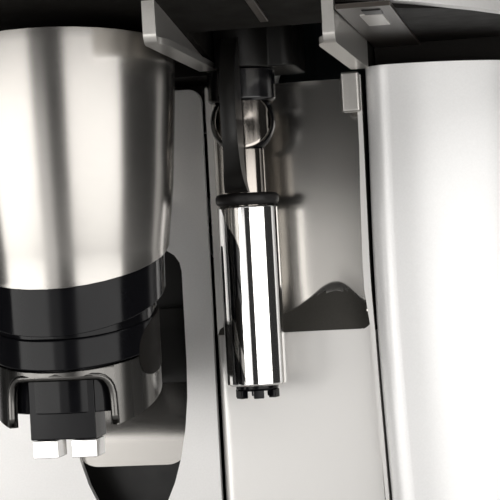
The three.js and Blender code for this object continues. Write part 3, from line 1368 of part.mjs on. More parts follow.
makeBrewUnit();
makeBoiler();
makePump();
makeGrinder();
makeBoard();
makeHose();

export default root;
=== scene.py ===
import bpy
import bmesh
import math
from mathutils import Matrix, Vector


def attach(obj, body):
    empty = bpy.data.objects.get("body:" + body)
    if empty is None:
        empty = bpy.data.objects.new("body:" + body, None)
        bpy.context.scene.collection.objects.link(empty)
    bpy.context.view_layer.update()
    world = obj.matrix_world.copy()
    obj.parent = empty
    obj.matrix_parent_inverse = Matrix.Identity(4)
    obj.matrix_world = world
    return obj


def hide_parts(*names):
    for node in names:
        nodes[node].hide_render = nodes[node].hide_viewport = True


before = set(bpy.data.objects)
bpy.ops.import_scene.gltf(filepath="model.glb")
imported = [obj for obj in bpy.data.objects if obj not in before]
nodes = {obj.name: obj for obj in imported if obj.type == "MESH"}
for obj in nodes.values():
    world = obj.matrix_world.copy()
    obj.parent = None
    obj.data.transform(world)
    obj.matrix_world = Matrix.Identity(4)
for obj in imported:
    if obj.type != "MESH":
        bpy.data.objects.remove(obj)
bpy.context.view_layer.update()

mm = 0.001
print("frame loaded:", len(nodes), "nodes")


# The camera
cameraSet = {
    "place": (0.15416, -0.69407, 0.234),   # metres
    "turn": 9.9,                           # degrees to the left
    "lean": 0.054,                         # the photo's small tilt, as a slope
    "lens": 129.6,
    "sensor": 36,
    "near": 0.01,
}


def placeCamera(s):
    turn = math.radians(s["turn"])
    right = Vector((math.cos(turn), math.sin(turn), 0))
    ahead = Vector((-math.sin(turn), math.cos(turn), 0))
    up = Vector((0, 0, 1))
    across = (right - s["lean"] * up).normalized()
    upright = (up + s["lean"] * right).normalized()
    data = bpy.data.cameras.new("photoCamera")
    data.lens = s["lens"]
    data.sensor_width = s["sensor"]
    data.clip_start = s["near"]
    cam = bpy.data.objects.new("photoCamera", data)
    bpy.context.collection.objects.link(cam)
    turnMatrix = Matrix((across, upright, -ahead)).transposed()
    cam.matrix_world = Matrix.Translation(s["place"]) @ turnMatrix.to_4x4()
    bpy.context.scene.camera = cam


placeCamera(cameraSet)

# The lamps, all soft, and the room's own faint light
lampSet = {
    # name: place, aim, width, height, watts, colour
    "lowLeft": ((-0.75, -0.99, 0.165), (0.05, -0.1, 0.165), 1.07, 0.33, 4.7, (1.0, 0.985, 0.96)),
    "lowRight": ((0.87, -0.96, 0.165), (0.05, -0.1, 0.165), 1.29, 0.33, 4.8, (1.0, 0.985, 0.965)),
    "lowFront": ((-0.14, -1.0, 0.135), (-0.04, -0.1, 0.17), 0.24, 0.27, 0.27, (1.0, 0.985, 0.97)),
    "highFront": ((0.10, -1.30, 1.10), (0.05, -0.1, 0.20), 1.8, 0.6, 6, (1.0, 0.99, 0.975)),
    "highRight": ((1.15, -0.65, 1.05), (0.05, -0.1, 0.20), 0.9, 0.6, 3.5, (1.0, 0.985, 0.965)),
    "backSoft": ((0.4, 1.4, 0.9), (0, 0, 0.2), 1.0, 1.0, 7, (1, 1, 1)),
}
roomSet = {"colour": (1.0, 0.99, 0.975), "strength": 0.035}


def addLamp(name, place, aim, width, height, watts, colour):
    data = bpy.data.lights.new(name, "AREA")
    data.shape = "RECTANGLE"
    data.size = width
    data.size_y = height
    data.energy = watts
    data.color = colour
    lamp = bpy.data.objects.new(name, data)
    bpy.context.collection.objects.link(lamp)
    lamp.location = place
    lamp.rotation_euler = (Vector(aim) - Vector(place)).to_track_quat("-Z", "Y").to_euler()


def lightRoom(s):
    world = bpy.data.worlds.new("studio")
    bpy.context.scene.world = world
    world.use_nodes = True
    background = world.node_tree.nodes["Background"]
    background.inputs["Color"].default_value = (*s["colour"], 1)
    background.inputs["Strength"].default_value = s["strength"]


for lampName, values in lampSet.items():
    addLamp(lampName, *values)
lightRoom(roomSet)
bpy.context.scene.view_settings.view_transform = "Standard"
print("camera and lamps set")


# Finishes: how far the noise in each kind moves its colour and roughness
grainSet = {
    "silver": {"dark": 0.975, "light": 1.01, "rough": 0.01, "detail": 1.0, "cloud": 40},
    "plastic": {"smoother": 0.03, "rougher": 0.06, "detail": 3.0, "cloud": 0.1, "bump": 0.5},
    "metal": {
        "dark": 0.93, "smoother": 0.75, "rougher": 1.3, "detail": 4.0, "height": 0.00002, "bump": 0.3,
    },
    "clear": {"rougher": 0.05, "cloud": 60, "index": 1.45},
}
noiseLow, noiseHigh = 0.3, 0.7   # nearly all of the noise lies between these


def newMaterial(name, colour, rough, metal, **sockets):
    mat = bpy.data.materials.new(name)
    mat.use_nodes = True
    shader = mat.node_tree.nodes["Principled BSDF"]
    shader.inputs["Base Color"].default_value = (*colour, 1)
    shader.inputs["Roughness"].default_value = rough
    shader.inputs["Metallic"].default_value = metal
    for key, value in sockets.items():
        shader.inputs[key.replace("_", " ")].default_value = value
    return mat, shader


def objectNoise(mat, scale, detail=2.0, stretch=(1, 1, 1)):
    tree = mat.node_tree
    coords = tree.nodes.new("ShaderNodeTexCoord")
    mapping = tree.nodes.new("ShaderNodeMapping")
    mapping.inputs["Scale"].default_value = stretch
    noise = tree.nodes.new("ShaderNodeTexNoise")
    noise.inputs["Scale"].default_value = scale
    noise.inputs["Detail"].default_value = detail
    tree.links.new(coords.outputs["Object"], mapping.inputs["Vector"])
    tree.links.new(mapping.outputs["Vector"], noise.inputs["Vector"])
    return noise.outputs["Fac"]


def varyColour(mat, shader, fac, low, high):
    ramp = mat.node_tree.nodes.new("ShaderNodeValToRGB")
    for element, at, colour in zip(ramp.color_ramp.elements, (noiseLow, noiseHigh), (low, high)):
        element.position = at
        element.color = (*colour, 1)
    mat.node_tree.links.new(fac, ramp.inputs["Fac"])
    mat.node_tree.links.new(ramp.outputs["Color"], shader.inputs["Base Color"])


def varyRoughness(mat, shader, fac, low, high):
    spread = mat.node_tree.nodes.new("ShaderNodeMapRange")
    spread.inputs["From Min"].default_value = noiseLow
    spread.inputs["From Max"].default_value = noiseHigh
    spread.inputs["To Min"].default_value = low
    spread.inputs["To Max"].default_value = high
    mat.node_tree.links.new(fac, spread.inputs["Value"])
    mat.node_tree.links.new(spread.outputs["Result"], shader.inputs["Roughness"])


def addBump(mat, shader, fac, height, strength):
    bump = mat.node_tree.nodes.new("ShaderNodeBump")
    bump.inputs["Distance"].default_value = height
    bump.inputs["Strength"].default_value = strength
    mat.node_tree.links.new(fac, bump.inputs["Height"])
    mat.node_tree.links.new(bump.outputs["Normal"], shader.inputs["Normal"])


def tinted(colour, share):
    return tuple(min(1, c * share) for c in colour)


def makeSilver(name, colour, rough, metal, grain=1500):
    g = grainSet["silver"]
    mat, shader = newMaterial(name, colour, rough, metal)
    flakes = objectNoise(mat, grain, g["detail"])
    varyColour(mat, shader, flakes, tinted(colour, g["dark"]), tinted(colour, g["light"]))
    varyRoughness(mat, shader, objectNoise(mat, g["cloud"]), rough - g["rough"], rough + g["rough"])
    return mat


def makePlastic(name, colour, rough, grain, height, lift=1.15, shine=0.5):
    g = grainSet["plastic"]
    mat, shader = newMaterial(name, colour, rough, 0, Specular_IOR_Level=shine)
    pores = objectNoise(mat, grain, g["detail"])
    clouds = objectNoise(mat, grain * g["cloud"], g["detail"])
    varyColour(mat, shader, pores, colour, tinted(colour, lift))
    varyRoughness(mat, shader, clouds, rough - g["smoother"], rough + g["rougher"])
    addBump(mat, shader, pores, height, g["bump"])
    return mat


def makeMetal(name, colour, rough, stretch, grain=700):
    g = grainSet["metal"]
    mat, shader = newMaterial(name, colour, rough, 1)
    lines = objectNoise(mat, grain, g["detail"], stretch)
    varyColour(mat, shader, lines, tinted(colour, g["dark"]), colour)
    varyRoughness(mat, shader, lines, rough * g["smoother"], rough * g["rougher"])
    addBump(mat, shader, lines, g["height"], g["bump"])
    return mat


def makeClear(name, colour, rough, through):
    g = grainSet["clear"]
    mat, shader = newMaterial(name, colour, rough, 0, Transmission_Weight=through, IOR=g["index"])
    varyRoughness(mat, shader, objectNoise(mat, g["cloud"]), rough, rough + g["rougher"])
    return mat


finishes = {
    # painted silvers: colour, roughness, metal, grain
    "silver": makeSilver("silverPaint", (0.335, 0.322, 0.305), 0.22, 0.96),
    "shellSilver": makeSilver("shellSilver", (0.62, 0.61, 0.60), 0.36, 0.5),
    "doorSilver": makeSilver("doorSilver", (0.78, 0.77, 0.76), 0.44, 0.65),
    "casingSilver": makeSilver("casingSilver", (0.95, 0.945, 0.94), 0.34, 0.22),
    "satinFin": makeSilver("satinFin", (0.62, 0.60, 0.57), 0.30, 0.82),
    "bracketGrey": makeSilver("bracketGrey", (0.07, 0.06, 0.052), 0.3, 0.6),
    "linerSilver": makeSilver("linerSilver", (0.78, 0.765, 0.745), 0.38, 0.62, 5000),
    "linerGloss": makeSilver("linerGloss", (0.45, 0.435, 0.41), 0.155, 0.97, 9000),
    # bare metals: colour, roughness, how the lines run, grain
    "chrome": makeMetal("chrome", (0.86, 0.85, 0.84), 0.07, (1, 1, 0.05), 200),
    "darkChrome": makeMetal("darkChrome", (0.13, 0.126, 0.12), 0.24, (1, 1, 0.05), 200),
    "steel": makeMetal("polishedSteel", (0.31, 0.285, 0.26), 0.11, (1, 1, 0.02)),
    "brushed": makeMetal("brushedSteel", (0.60, 0.585, 0.565), 0.28, (0.02, 1, 1)),
    "brass": makeMetal("satinBrass", (0.60, 0.43, 0.20), 0.3, (1, 0.02, 1)),
    # plastics and rubber: colour, roughness, grain, height of the grain
    # the ramp's dark grey is painted shade and painted reflection: it stands in for the dark ceiling that the
    # slope mirrors
    "rampPaintedShade": makePlastic("rampPaintedShade", (0.055, 0.052, 0.046), 0.6, 2000, 0.00001, shine=0.15),
    "darkGrey": makePlastic("darkMoulding", (0.012, 0.010, 0.009), 0.36, 1400, 0.00002, shine=0.15),
    "ceilingGrey": makePlastic("ceilingGrey", (0.011, 0.010, 0.009), 0.55, 1400, 0.00002, shine=0.06),
    "black": makePlastic("glossBlack", (0.004, 0.004, 0.005), 0.13, 500, 0.000004, shine=0.15),
    "nutBlack": makePlastic("nutBlack", (0.004, 0.004, 0.005), 0.12, 500, 0.000004, shine=0.9),
    "softBlack": makePlastic("softBlack", (0.008, 0.0075, 0.007), 0.34, 1500, 0.00003, shine=0.3),
    "rubber": makePlastic("rubber", (0.010, 0.009, 0.009), 0.42, 1800, 0.00005, shine=0.35),
    "window": makePlastic("displayGlass", (0.012, 0.014, 0.016), 0.08, 300, 0.000002),
    "white": makePlastic("whiteTube", (0.80, 0.79, 0.76), 0.4, 900, 0.00002),
    "board": makePlastic("boardGreen", (0.012, 0.10, 0.045), 0.4, 700, 0.00003, 1.6),
    "red": makePlastic("redPlastic", (0.45, 0.02, 0.015), 0.25, 800, 0.00001),
    # clear plastics: colour, roughness, how much light goes through
    "smoke": makeClear("smokyClear", (0.06, 0.065, 0.07), 0.06, 0.75),
    "clear": makeClear("clearPlastic", (0.75, 0.82, 0.84), 0.06, 0.92),
}

# The CAD pieces that are shown as they are
nodeFinish = {
    "silver": ["column_shell"],
    "shellSilver": ["console_shell", "tray_front", "top_cover"],
    "doorSilver": ["door_panel"],
    "darkGrey": [
        "base_pan", "rear_panel", "drip_tray", "inner_frame", "brew_unit", "grinder_motor", "grounds_drawer",
    ],
    "black": ["steam_knob", "doser_lid"],
    "softBlack": ["steam_mount", "slide_backing", "power_inlet"],
    "rubber": ["foot_front_left", "foot_front_right", "foot_rear_left", "foot_rear_right"],
    "chrome": ["nozzle_left", "nozzle_right", "button_one_cup", "button_two_cups", "button_steam"],
    "steel": ["boiler", "lower_burr", "upper_burr"],
    "brushed": ["cup_grid", "cup_plate"],
    "smoke": ["bean_hopper", "hopper_lid", "tank_lid"],
    "clear": ["water_tank"],
    "window": ["display_window"],
    "white": ["steam_hose"],
    "brass": ["pump"],
    "board": ["control_board"],
    "red": ["power_rocker", "tray_float"],
}
edgeSet = {
    "weld": 0.00001, "flat": 0.5, "segments": 2, "angle": 32, "width": 0.5,
    # the pieces whose edges are finer
    "widths": {
        "nozzle_left": 0.25, "nozzle_right": 0.25, "lower_burr": 0, "upper_burr": 0.3, "steam_hose": 0,
        "power_inlet": 0.3, "rear_panel": 0.4, "display_window": 0.2, "control_board": 0,
    },
}


def softenEdges(obj, width, segments, angle):
    if width:
        edge = obj.modifiers.new("edge", "BEVEL")
        edge.width = width * mm
        edge.segments = segments
        edge.limit_method = "ANGLE"
        edge.angle_limit = math.radians(angle)
    shade = obj.modifiers.new("shade", "WEIGHTED_NORMAL")
    shade.keep_sharp = True


def finishNode(name, finish, s):
    obj = nodes[name]
    obj.data.materials.clear()
    obj.data.materials.append(finishes[finish])
    merge = obj.modifiers.new("merge", "WELD")
    merge.merge_threshold = s["weld"]
    flat = obj.modifiers.new("flat", "DECIMATE")
    flat.decimate_type = "DISSOLVE"
    flat.angle_limit = math.radians(s["flat"])
    for face in obj.data.polygons:
        face.use_smooth = True
    softenEdges(obj, s["widths"].get(name, s["width"]), s["segments"], s["angle"])


for finish, names in nodeFinish.items():
    for name in names:
        finishNode(name, finish, edgeSet)
print("finishes set")


# New shapes are drawn in millimetres and made metres when a piece is finished
pieceWeld = 0.0005   # millimetres


def finishPiece(bm, name, finish, body, replaced=(), edge=0.0, segments=3, angle=35):
    bmesh.ops.remove_doubles(bm, verts=bm.verts, dist=pieceWeld)
    bmesh.ops.recalc_face_normals(bm, faces=bm.faces)
    bmesh.ops.scale(bm, vec=(mm, mm, mm), verts=bm.verts)
    mesh = bpy.data.meshes.new(name)
    for face in bm.faces:
        face.smooth = True
    bm.to_mesh(mesh)
    bm.free()
    obj = bpy.data.objects.new(name, mesh)
    bpy.context.collection.objects.link(obj)
    mesh.materials.append(finishes[finish])
    softenEdges(obj, edge, segments, angle)
    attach(obj, body)
    if replaced:
        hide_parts(*replaced)
    return obj


def spinProfile(profile, centre, steps=96, closed=True):
    bm = bmesh.new()
    verts = [bm.verts.new((centre[0] + r, centre[1], z)) for r, z in profile]
    edges = [bm.edges.new(pair) for pair in zip(verts, verts[1:])]
    if closed:
        edges.append(bm.edges.new((verts[-1], verts[0])))
    bmesh.ops.spin(bm, geom=verts + edges, cent=(*centre, 0), axis=(0, 0, 1), angle=2 * math.pi,
                   steps=steps, use_merge=True)
    return bm


def addBlock(bm, low, high):
    made = bmesh.ops.create_cube(bm, size=1)["verts"]
    bmesh.ops.scale(bm, vec=[h - l for l, h in zip(low, high)], verts=made)
    bmesh.ops.translate(bm, vec=[(l + h) / 2 for l, h in zip(low, high)], verts=made)
    return made


def extrudeFace(bm, points, vec):
    face = bm.faces.new([bm.verts.new(p) for p in points])
    grown = bmesh.ops.extrude_face_region(bm, geom=[face], use_keep_orig=True)["geom"]
    moved = [v for v in grown if isinstance(v, bmesh.types.BMVert)]
    bmesh.ops.translate(bm, vec=vec, verts=moved)


# Joins rings of points, each to the next, and closes both ends
def loftRings(rings):
    bm = bmesh.new()
    loops = []
    for i, points in enumerate(rings):
        verts = [bm.verts.new(p) for p in points]
        loops.append([bm.edges.new(pair) for pair in zip(verts, verts[1:] + verts[:1])])
        if i in (0, len(rings) - 1):
            bm.faces.new(verts)
    for one, two in zip(loops, loops[1:]):
        bmesh.ops.bridge_loops(bm, edges=one + two)
    return bm


def cutPlane(bm, co, no):
    bmesh.ops.bisect_plane(bm, geom=bm.verts[:] + bm.edges[:] + bm.faces[:], plane_co=co, plane_no=no)


# Gives an open sheet its wall, behind the side that looks along outward
def thicken(bm, outward, wall):
    outward = Vector(outward)
    bmesh.ops.recalc_face_normals(bm, faces=bm.faces)
    outer = max(bm.faces, key=lambda f: f.calc_center_median().dot(outward))
    if outer.normal.dot(outward) < 0:
        bmesh.ops.reverse_faces(bm, faces=bm.faces)
    bmesh.ops.solidify(bm, geom=bm.faces[:], thickness=wall)


# Insets the middle of a round face again and again, so that it can be curved
def insetRings(bm, insets):
    for inset in insets:
        bmesh.ops.inset_region(bm, faces=[max(bm.faces, key=lambda f: len(f.verts))], thickness=inset,
                               use_even_offset=True, use_boundary=True)


def smoothLine(points, steps):
    line = []
    for i in range(len(points) - 1):
        before, a = Vector(points[max(i - 1, 0)]), Vector(points[i])
        b, after = Vector(points[i + 1]), Vector(points[min(i + 2, len(points) - 1)])
        for k in range(steps):
            t = k / steps
            line.append(0.5 * (2 * a + (b - before) * t + (2 * before - 5 * a + 4 * b - after) * t * t
                               + (3 * a - before - 3 * b + after) * t ** 3))
    line.append(Vector(points[-1]))
    return line


def valueAt(table, key):
    for (a, low), (b, high) in zip(table, table[1:]):
        if key <= b:
            share = max(0, (key - a) / (b - a))
            return low + (high - low) * share
    return table[-1][1]


# The steam wand: its heights are measured from the centre of its ball
wandPlace = (51.0, -103.0, 276.7)

sleeveSet = {"radius": 10, "wall": 0.8, "top": -28.1, "bottom": -87.5, "lip": 0.35}


def makeSleeve(s):
    z, r, lip = wandPlace[2], s["radius"], s["lip"]
    top, low, inner = z + s["top"], z + s["bottom"], r - s["wall"]
    profile = [
        (inner, low), (r - lip, low), (r, low + lip), (r, low + 2 * lip), (r, top - 2 * lip), (r, top - lip),
        (r - lip, top), (inner, top),
    ]
    bm = spinProfile(profile, wandPlace[:2])
    finishPiece(bm, "chromeSleeve", "chrome", "sleeve", ["wand_sleeve"])


ringSet = {"inner": 6.8, "outer": 10.6, "bottom": -27.8, "top": -23.8, "round": 1.6, "steps": 6}


def makeRing(s):
    z, r, k = wandPlace[2], s["outer"], s["round"]
    profile = [(s["inner"], z + s["bottom"])]
    for start, middle in ((-math.pi / 2, z + s["bottom"] + k), (0, z + s["top"] - k)):
        for i in range(s["steps"] + 1):
            a = start + math.pi / 2 * i / s["steps"]
            profile.append((r - k + k * math.cos(a), middle + k * math.sin(a)))
    profile.append((s["inner"], z + s["top"]))
    finishPiece(spinProfile(profile, wandPlace[:2]), "rubberRing", "rubber", "wand", ["wand_ring"])


pipeSet = {"radius": 6.5, "bottom": -81.7, "hollow": 11.2, "steps": 6}   # hollow: its top fits the ball


def makePipe(s):
    z, r = wandPlace[2], s["radius"]
    profile = [(0, z + s["bottom"]), (r, z + s["bottom"])]
    for i in range(s["steps"], -1, -1):
        x = r * i / s["steps"]
        profile.append((x, z - math.sqrt(s["hollow"] ** 2 - x ** 2)))
    bm = spinProfile(profile, wandPlace[:2], steps=64, closed=False)
    finishPiece(bm, "steelPipe", "steel", "wand", ["wand_pipe"], edge=0.25)


ballSet = {
    "radius": 10.9, "core": 10.2, "window": 9.1, "hole": 9.4, "turn": 0.17, "bandSteps": 12,
    "insets": (0.9828, 1.3104, 1.638, 2.0475, 2.457),
}


def makeBall(s):
    band = bmesh.new()
    half = math.sqrt(s["radius"] ** 2 - s["hole"] ** 2)
    reach = math.atan2(half, s["hole"])
    profile = [(s["hole"], -half)]
    for i in range(s["bandSteps"] + 1):
        a = -reach + 2 * reach * i / s["bandSteps"]
        profile.append((s["radius"] * math.cos(a), s["radius"] * math.sin(a)))
    profile.append((s["hole"], half))
    verts = [band.verts.new((r, y, 0)) for r, y in profile]
    edges = [band.edges.new(pair) for pair in zip(verts, verts[1:] + verts[:1])]
    bmesh.ops.spin(band, geom=verts + edges, cent=(0, 0, 0), axis=(0, 1, 0), angle=2 * math.pi, steps=96,
                   use_merge=True)
    core = bmesh.new()
    bmesh.ops.create_circle(core, cap_ends=True, segments=72, radius=s["window"])
    insetRings(core, s["insets"])
    bmesh.ops.rotate(core, cent=(0, 0, 0), matrix=Matrix.Rotation(math.pi / 2, 3, "X"), verts=core.verts)
    for v in core.verts:
        v.co.y = -math.sqrt(s["core"] ** 2 - v.co.x ** 2)
    other = bmesh.ops.duplicate(core, geom=core.faces[:])["geom"]
    bmesh.ops.rotate(core, cent=(0, 0, 0), matrix=Matrix.Rotation(math.pi, 3, "Z"),
                     verts=[v for v in other if isinstance(v, bmesh.types.BMVert)])
    bmesh.ops.bridge_loops(core, edges=[e for e in core.edges if e.is_boundary])
    for bm, name, finish, node, edge in (
        (band, "ballBand", "black", "ball_band", 0.2), (core, "ballCore", "steel", "wand_ball", 0.25),
    ):
        bmesh.ops.rotate(bm, cent=(0, 0, 0), matrix=Matrix.Rotation(s["turn"], 3, "Z"), verts=bm.verts)
        bmesh.ops.translate(bm, vec=wandPlace, verts=bm.verts)
        finishPiece(bm, name, finish, "wand", [node], edge, segments=2, angle=40)


handleSet = {
    "half": 2.5, "grooveIn": 1.43, "groove": 0.45, "soft": 0.715, "steps": 4,
    "aside": -0.35, "flare": 2.7, "flareFrom": -8, "flareOver": 15.5, "facing": 0.3, "sideways": 0.1,
    # height, front and rear, from the ball's centre
    "line": [
        (-23.6, -10.2, -6.3), (-20, -17, -10.5), (-15, -21.5, -13.4), (-8, -24.3, -13.6), (0, -25.2, -13.6),
        (8, -24.9, -13.6), (15, -23.2, -13.5), (20, -20.8, -13.5), (24, -17.8, -13.6), (26.3, -15.8, -13.9),
    ],
}


def makeHandle(s):
    bm = bmesh.new()
    front = smoothLine([(-s["half"], y, z) for z, y, _ in s["line"]], s["steps"])
    rear = smoothLine([(-s["half"], y, z) for z, _, y in s["line"]], s["steps"])
    extrudeFace(bm, front + rear[::-1], (2 * s["half"], 0, 0))
    bmesh.ops.recalc_face_normals(bm, faces=bm.faces)
    # the groove runs down the faces that look to the front
    strip = [f for f in bm.faces
             if len(f.verts) == 4 and f.normal.y < -s["facing"] and abs(f.normal.x) < s["sideways"]]
    bmesh.ops.inset_region(bm, faces=strip, thickness=s["grooveIn"], depth=-s["groove"], use_even_offset=True,
                           use_boundary=True)
    for v in bm.verts:
        share = max(0, (s["flareFrom"] - v.co.z) / s["flareOver"])
        v.co.x += s["aside"] - (s["flare"] * share ** 2 if v.co.x < 0 else 0)
    bmesh.ops.translate(bm, vec=wandPlace, verts=bm.verts)
    finishPiece(bm, "handleBlade", "softBlack", "wand", ["wand_handle"], s["soft"], angle=40)


nutSet = {"radius": 11.3, "bottom": 6.3, "top": 17, "chamfer": 0.9, "ball": 11.2, "steps": 6}


def makeNut(s):
    z, r = wandPlace[2], s["radius"]
    low, top = z + s["bottom"], z + s["top"]
    reach = math.sqrt(s["ball"] ** 2 - s["bottom"] ** 2)
    profile = []
    for i in range(s["steps"] + 1):
        x = reach * i / s["steps"]
        profile.append((x, z + math.sqrt(s["ball"] ** 2 - x * x)))
    profile += [(r - s["chamfer"], low), (r, low + s["chamfer"]), (r, top), (0, top)]
    bm = spinProfile(profile, wandPlace[:2], closed=False)
    finishPiece(bm, "swivelNut", "nutBlack", "swivel", ["swivel_collar"], edge=0.3)


tipSet = {
    "radius": 7.1, "bottom": -89.4, "top": -81.6, "chamfer": 0.6, "teeth": 6, "turn": 13, "toothLow": -91.8,
    "toothInner": 4.9, "toothOuter": 7.35, "toothHalf": 1.7, "toothSink": 0.4,
}


def makeTip(s):
    z, r = wandPlace[2], s["radius"]
    low, top = z + s["bottom"], z + s["top"]
    profile = [(0, low), (r - s["chamfer"], low), (r, low + s["chamfer"]), (r, top), (0, top)]
    bm = spinProfile(profile, wandPlace[:2], steps=72, closed=False)
    for k in range(s["teeth"]):
        tooth = addBlock(bm, (-s["toothHalf"], -s["toothOuter"], s["toothLow"]),
                         (s["toothHalf"], -s["toothInner"], s["bottom"] + s["toothSink"]))
        turn = math.radians(s["turn"] + 360 * k / s["teeth"])
        bmesh.ops.rotate(bm, cent=(0, 0, 0), matrix=Matrix.Rotation(turn, 3, "Z"), verts=tooth)
        bmesh.ops.translate(bm, vec=wandPlace, verts=tooth)
    finishPiece(bm, "toothedTip", "black", "wand", ["wand_tip"], edge=0.25, segments=2)


makeTip(tipSet)
makeSleeve(sleeveSet)
makeRing(ringSet)
makePipe(pipeSet)
makeBall(ballSet)
makeHandle(handleSet)
makeNut(nutSet)
print("wand made")


# The wall of the bay, with its step and the ramp above it
linerSet = {
    "left": 33, "right": 87.2, "lean": 0.03, "low": 14.9, "front": -78, "recess": 5, "step": 204.9,
    "top": 291.6, "thick": 2.6, "leftRound": 3.2, "stepSoft": 0.25, "turnUp": 3.6, "turnFrom": 83.6, "turnOver": 5,
    "rampLow": 6, "rampHigh": 11, "rampAt": 75.5, "rampLeft": 12, "rampRight": 9, "rampCurve": 1.5,
    "columns": 64, "rows": (8, 14, 10),   # below the step, on the ramp and above it
    "bead": (86.3, -74.4, 211.2), "beadRadius": 1.5, "beadShape": (0.9, 1, 1.7),
    # the fold at the right: its outline, seen from the front
    "flange": [
        (91.8, 70.3), (93.2, 70.3), (91.0, 148.3), (90.5, 163.7), (89.7, 187.6), (89.3, 204.5), (88.8, 218.3),
        (88.7, 228.5), (88.8, 249), (88.9, 267), (89.0, 291.6), (87.4, 291.6), (87.3, 267), (86.7, 249),
        (86.3, 228.5), (86.4, 218.3), (87.9, 204.5), (88.4, 187.6), (89.1, 163.7), (89.8, 148.3),
    ],
    "flangeFront": -84, "flangeRear": -71, "side": 2.2, "sideRear": -64,
    # how near a face lies to the step, the gloss and the wall's depth, and how squarely it looks to the front
    "nearStep": 0.01, "nearGloss": 0.05, "nearWall": 0.1, "square": 0.98,
}


def makeLiner(s):
    bm = bmesh.new()
    lowRows, rampRows, highRows = s["rows"]
    rows, soft = sum(s["rows"]), s["stepSoft"]
    bmesh.ops.create_grid(bm, x_segments=s["columns"], y_segments=rows, size=1)
    for v in bm.verts:
        across = (v.co.x + 1) / 2
        row = round((v.co.y + 1) / 2 * rows)
        fromLeft = (s["right"] - s["left"]) * across
        x, y = s["left"] + fromLeft, s["front"]
        width = s["rampLeft"] if x < s["rampAt"] else s["rampRight"]
        ramp = s["rampLow"] + s["rampHigh"] * math.exp(-((x - s["rampAt"]) / width) ** 2)
        step = s["step"] + s["turnUp"] * max(0, (x - s["turnFrom"]) / s["turnOver"]) ** 2
        if row < lowRows:
            z = s["low"] + (step - soft - s["low"]) * row / (lowRows - 1)
        elif row <= lowRows + rampRows:
            share = (row - lowRows) / rampRows
            z = step + ramp * share
            y += soft + (s["recess"] - soft) * (1 - (1 - share) ** s["rampCurve"])
        else:
            share = (row - lowRows - rampRows) / highRows
            z = step + ramp + (s["top"] - step - ramp) * share
            y += s["recess"]
        if fromLeft < s["leftRound"]:
            y += s["leftRound"] - math.sqrt(s["leftRound"] ** 2 - (s["leftRound"] - fromLeft) ** 2)
        x += across * s["lean"] * max(0, s["step"] - z)
        v.co = (x, y, z)
    thicken(bm, (0, -1, 0), s["thick"])
    bead = bmesh.ops.create_uvsphere(bm, u_segments=24, v_segments=16, radius=s["beadRadius"])["verts"]
    bmesh.ops.scale(bm, vec=s["beadShape"], verts=bead)
    bmesh.ops.translate(bm, vec=s["bead"], verts=bead)
    flange = [(x, s["flangeFront"], z) for x, z in s["flange"]]
    extrudeFace(bm, flange, (0, s["flangeRear"] - s["flangeFront"], 0))
    addBlock(bm, (s["left"], s["front"] + s["leftRound"], s["low"]),
             (s["left"] + s["side"], s["sideRear"], s["top"]))
    # above the step the wall is glossy, and the ramp's slope gets a dark grey that is painted shade, standing in
    # for the dark ceiling that the slope mirrors
    recessed = s["front"] + s["recess"]
    for face in bm.faces:
        middle = face.calc_center_median()
        if middle.z > s["step"] + s["nearStep"] and middle.y < recessed + s["leftRound"] + s["nearWall"]:
            glossy = middle.y > recessed - s["nearGloss"] or abs(face.normal.y) > s["square"]
            face.material_index = 1 if glossy else 2
    wall = finishPiece(bm, "bayWall", "linerSilver", "housing", ["niche_liner"], edge=0.35,
                       segments=2, angle=50)
    wall.data.materials.append(finishes["linerGloss"])
    wall.data.materials.append(finishes["rampPaintedShade"])


catchSet = {"low": (82.6, -89.0, 278.8), "high": (88.7, -84.3, 292.4), "edge": 0.8}


def makeCatch(s):
    bm = bmesh.new()
    addBlock(bm, s["low"], s["high"])
    finishPiece(bm, "catchPad", "satinFin", "housing", ["catch_block"], s["edge"], segments=4)


makeLiner(linerSet)
makeCatch(catchSet)
print("bay made")


# The side casings, with a large radius at the front corner
casingSet = {
    # the inner edge's X by height, as the photo shows it
    "edgeLine": [(14.9, 95.6), (147.9, 91.8), (163.3, 91.2), (187.3, 90.4), (206, 89.9), (226, 89.8),
                 (249, 90.0), (267, 90.4), (293.8, 90.5)],
    "inner": 89.95, "front": -90, "side": 160, "rear": 200, "low": 14.9, "high": 293.8, "cuts": 28,
    # radius and segments of each upright corner
    "nearRound": (8.5, 12), "cornerRound": (61.5, 40), "rearRound": (14, 16),
    "returnEnd": -66, "lipEnd": 140.2, "wall": 3, "slack": 0.1,
}


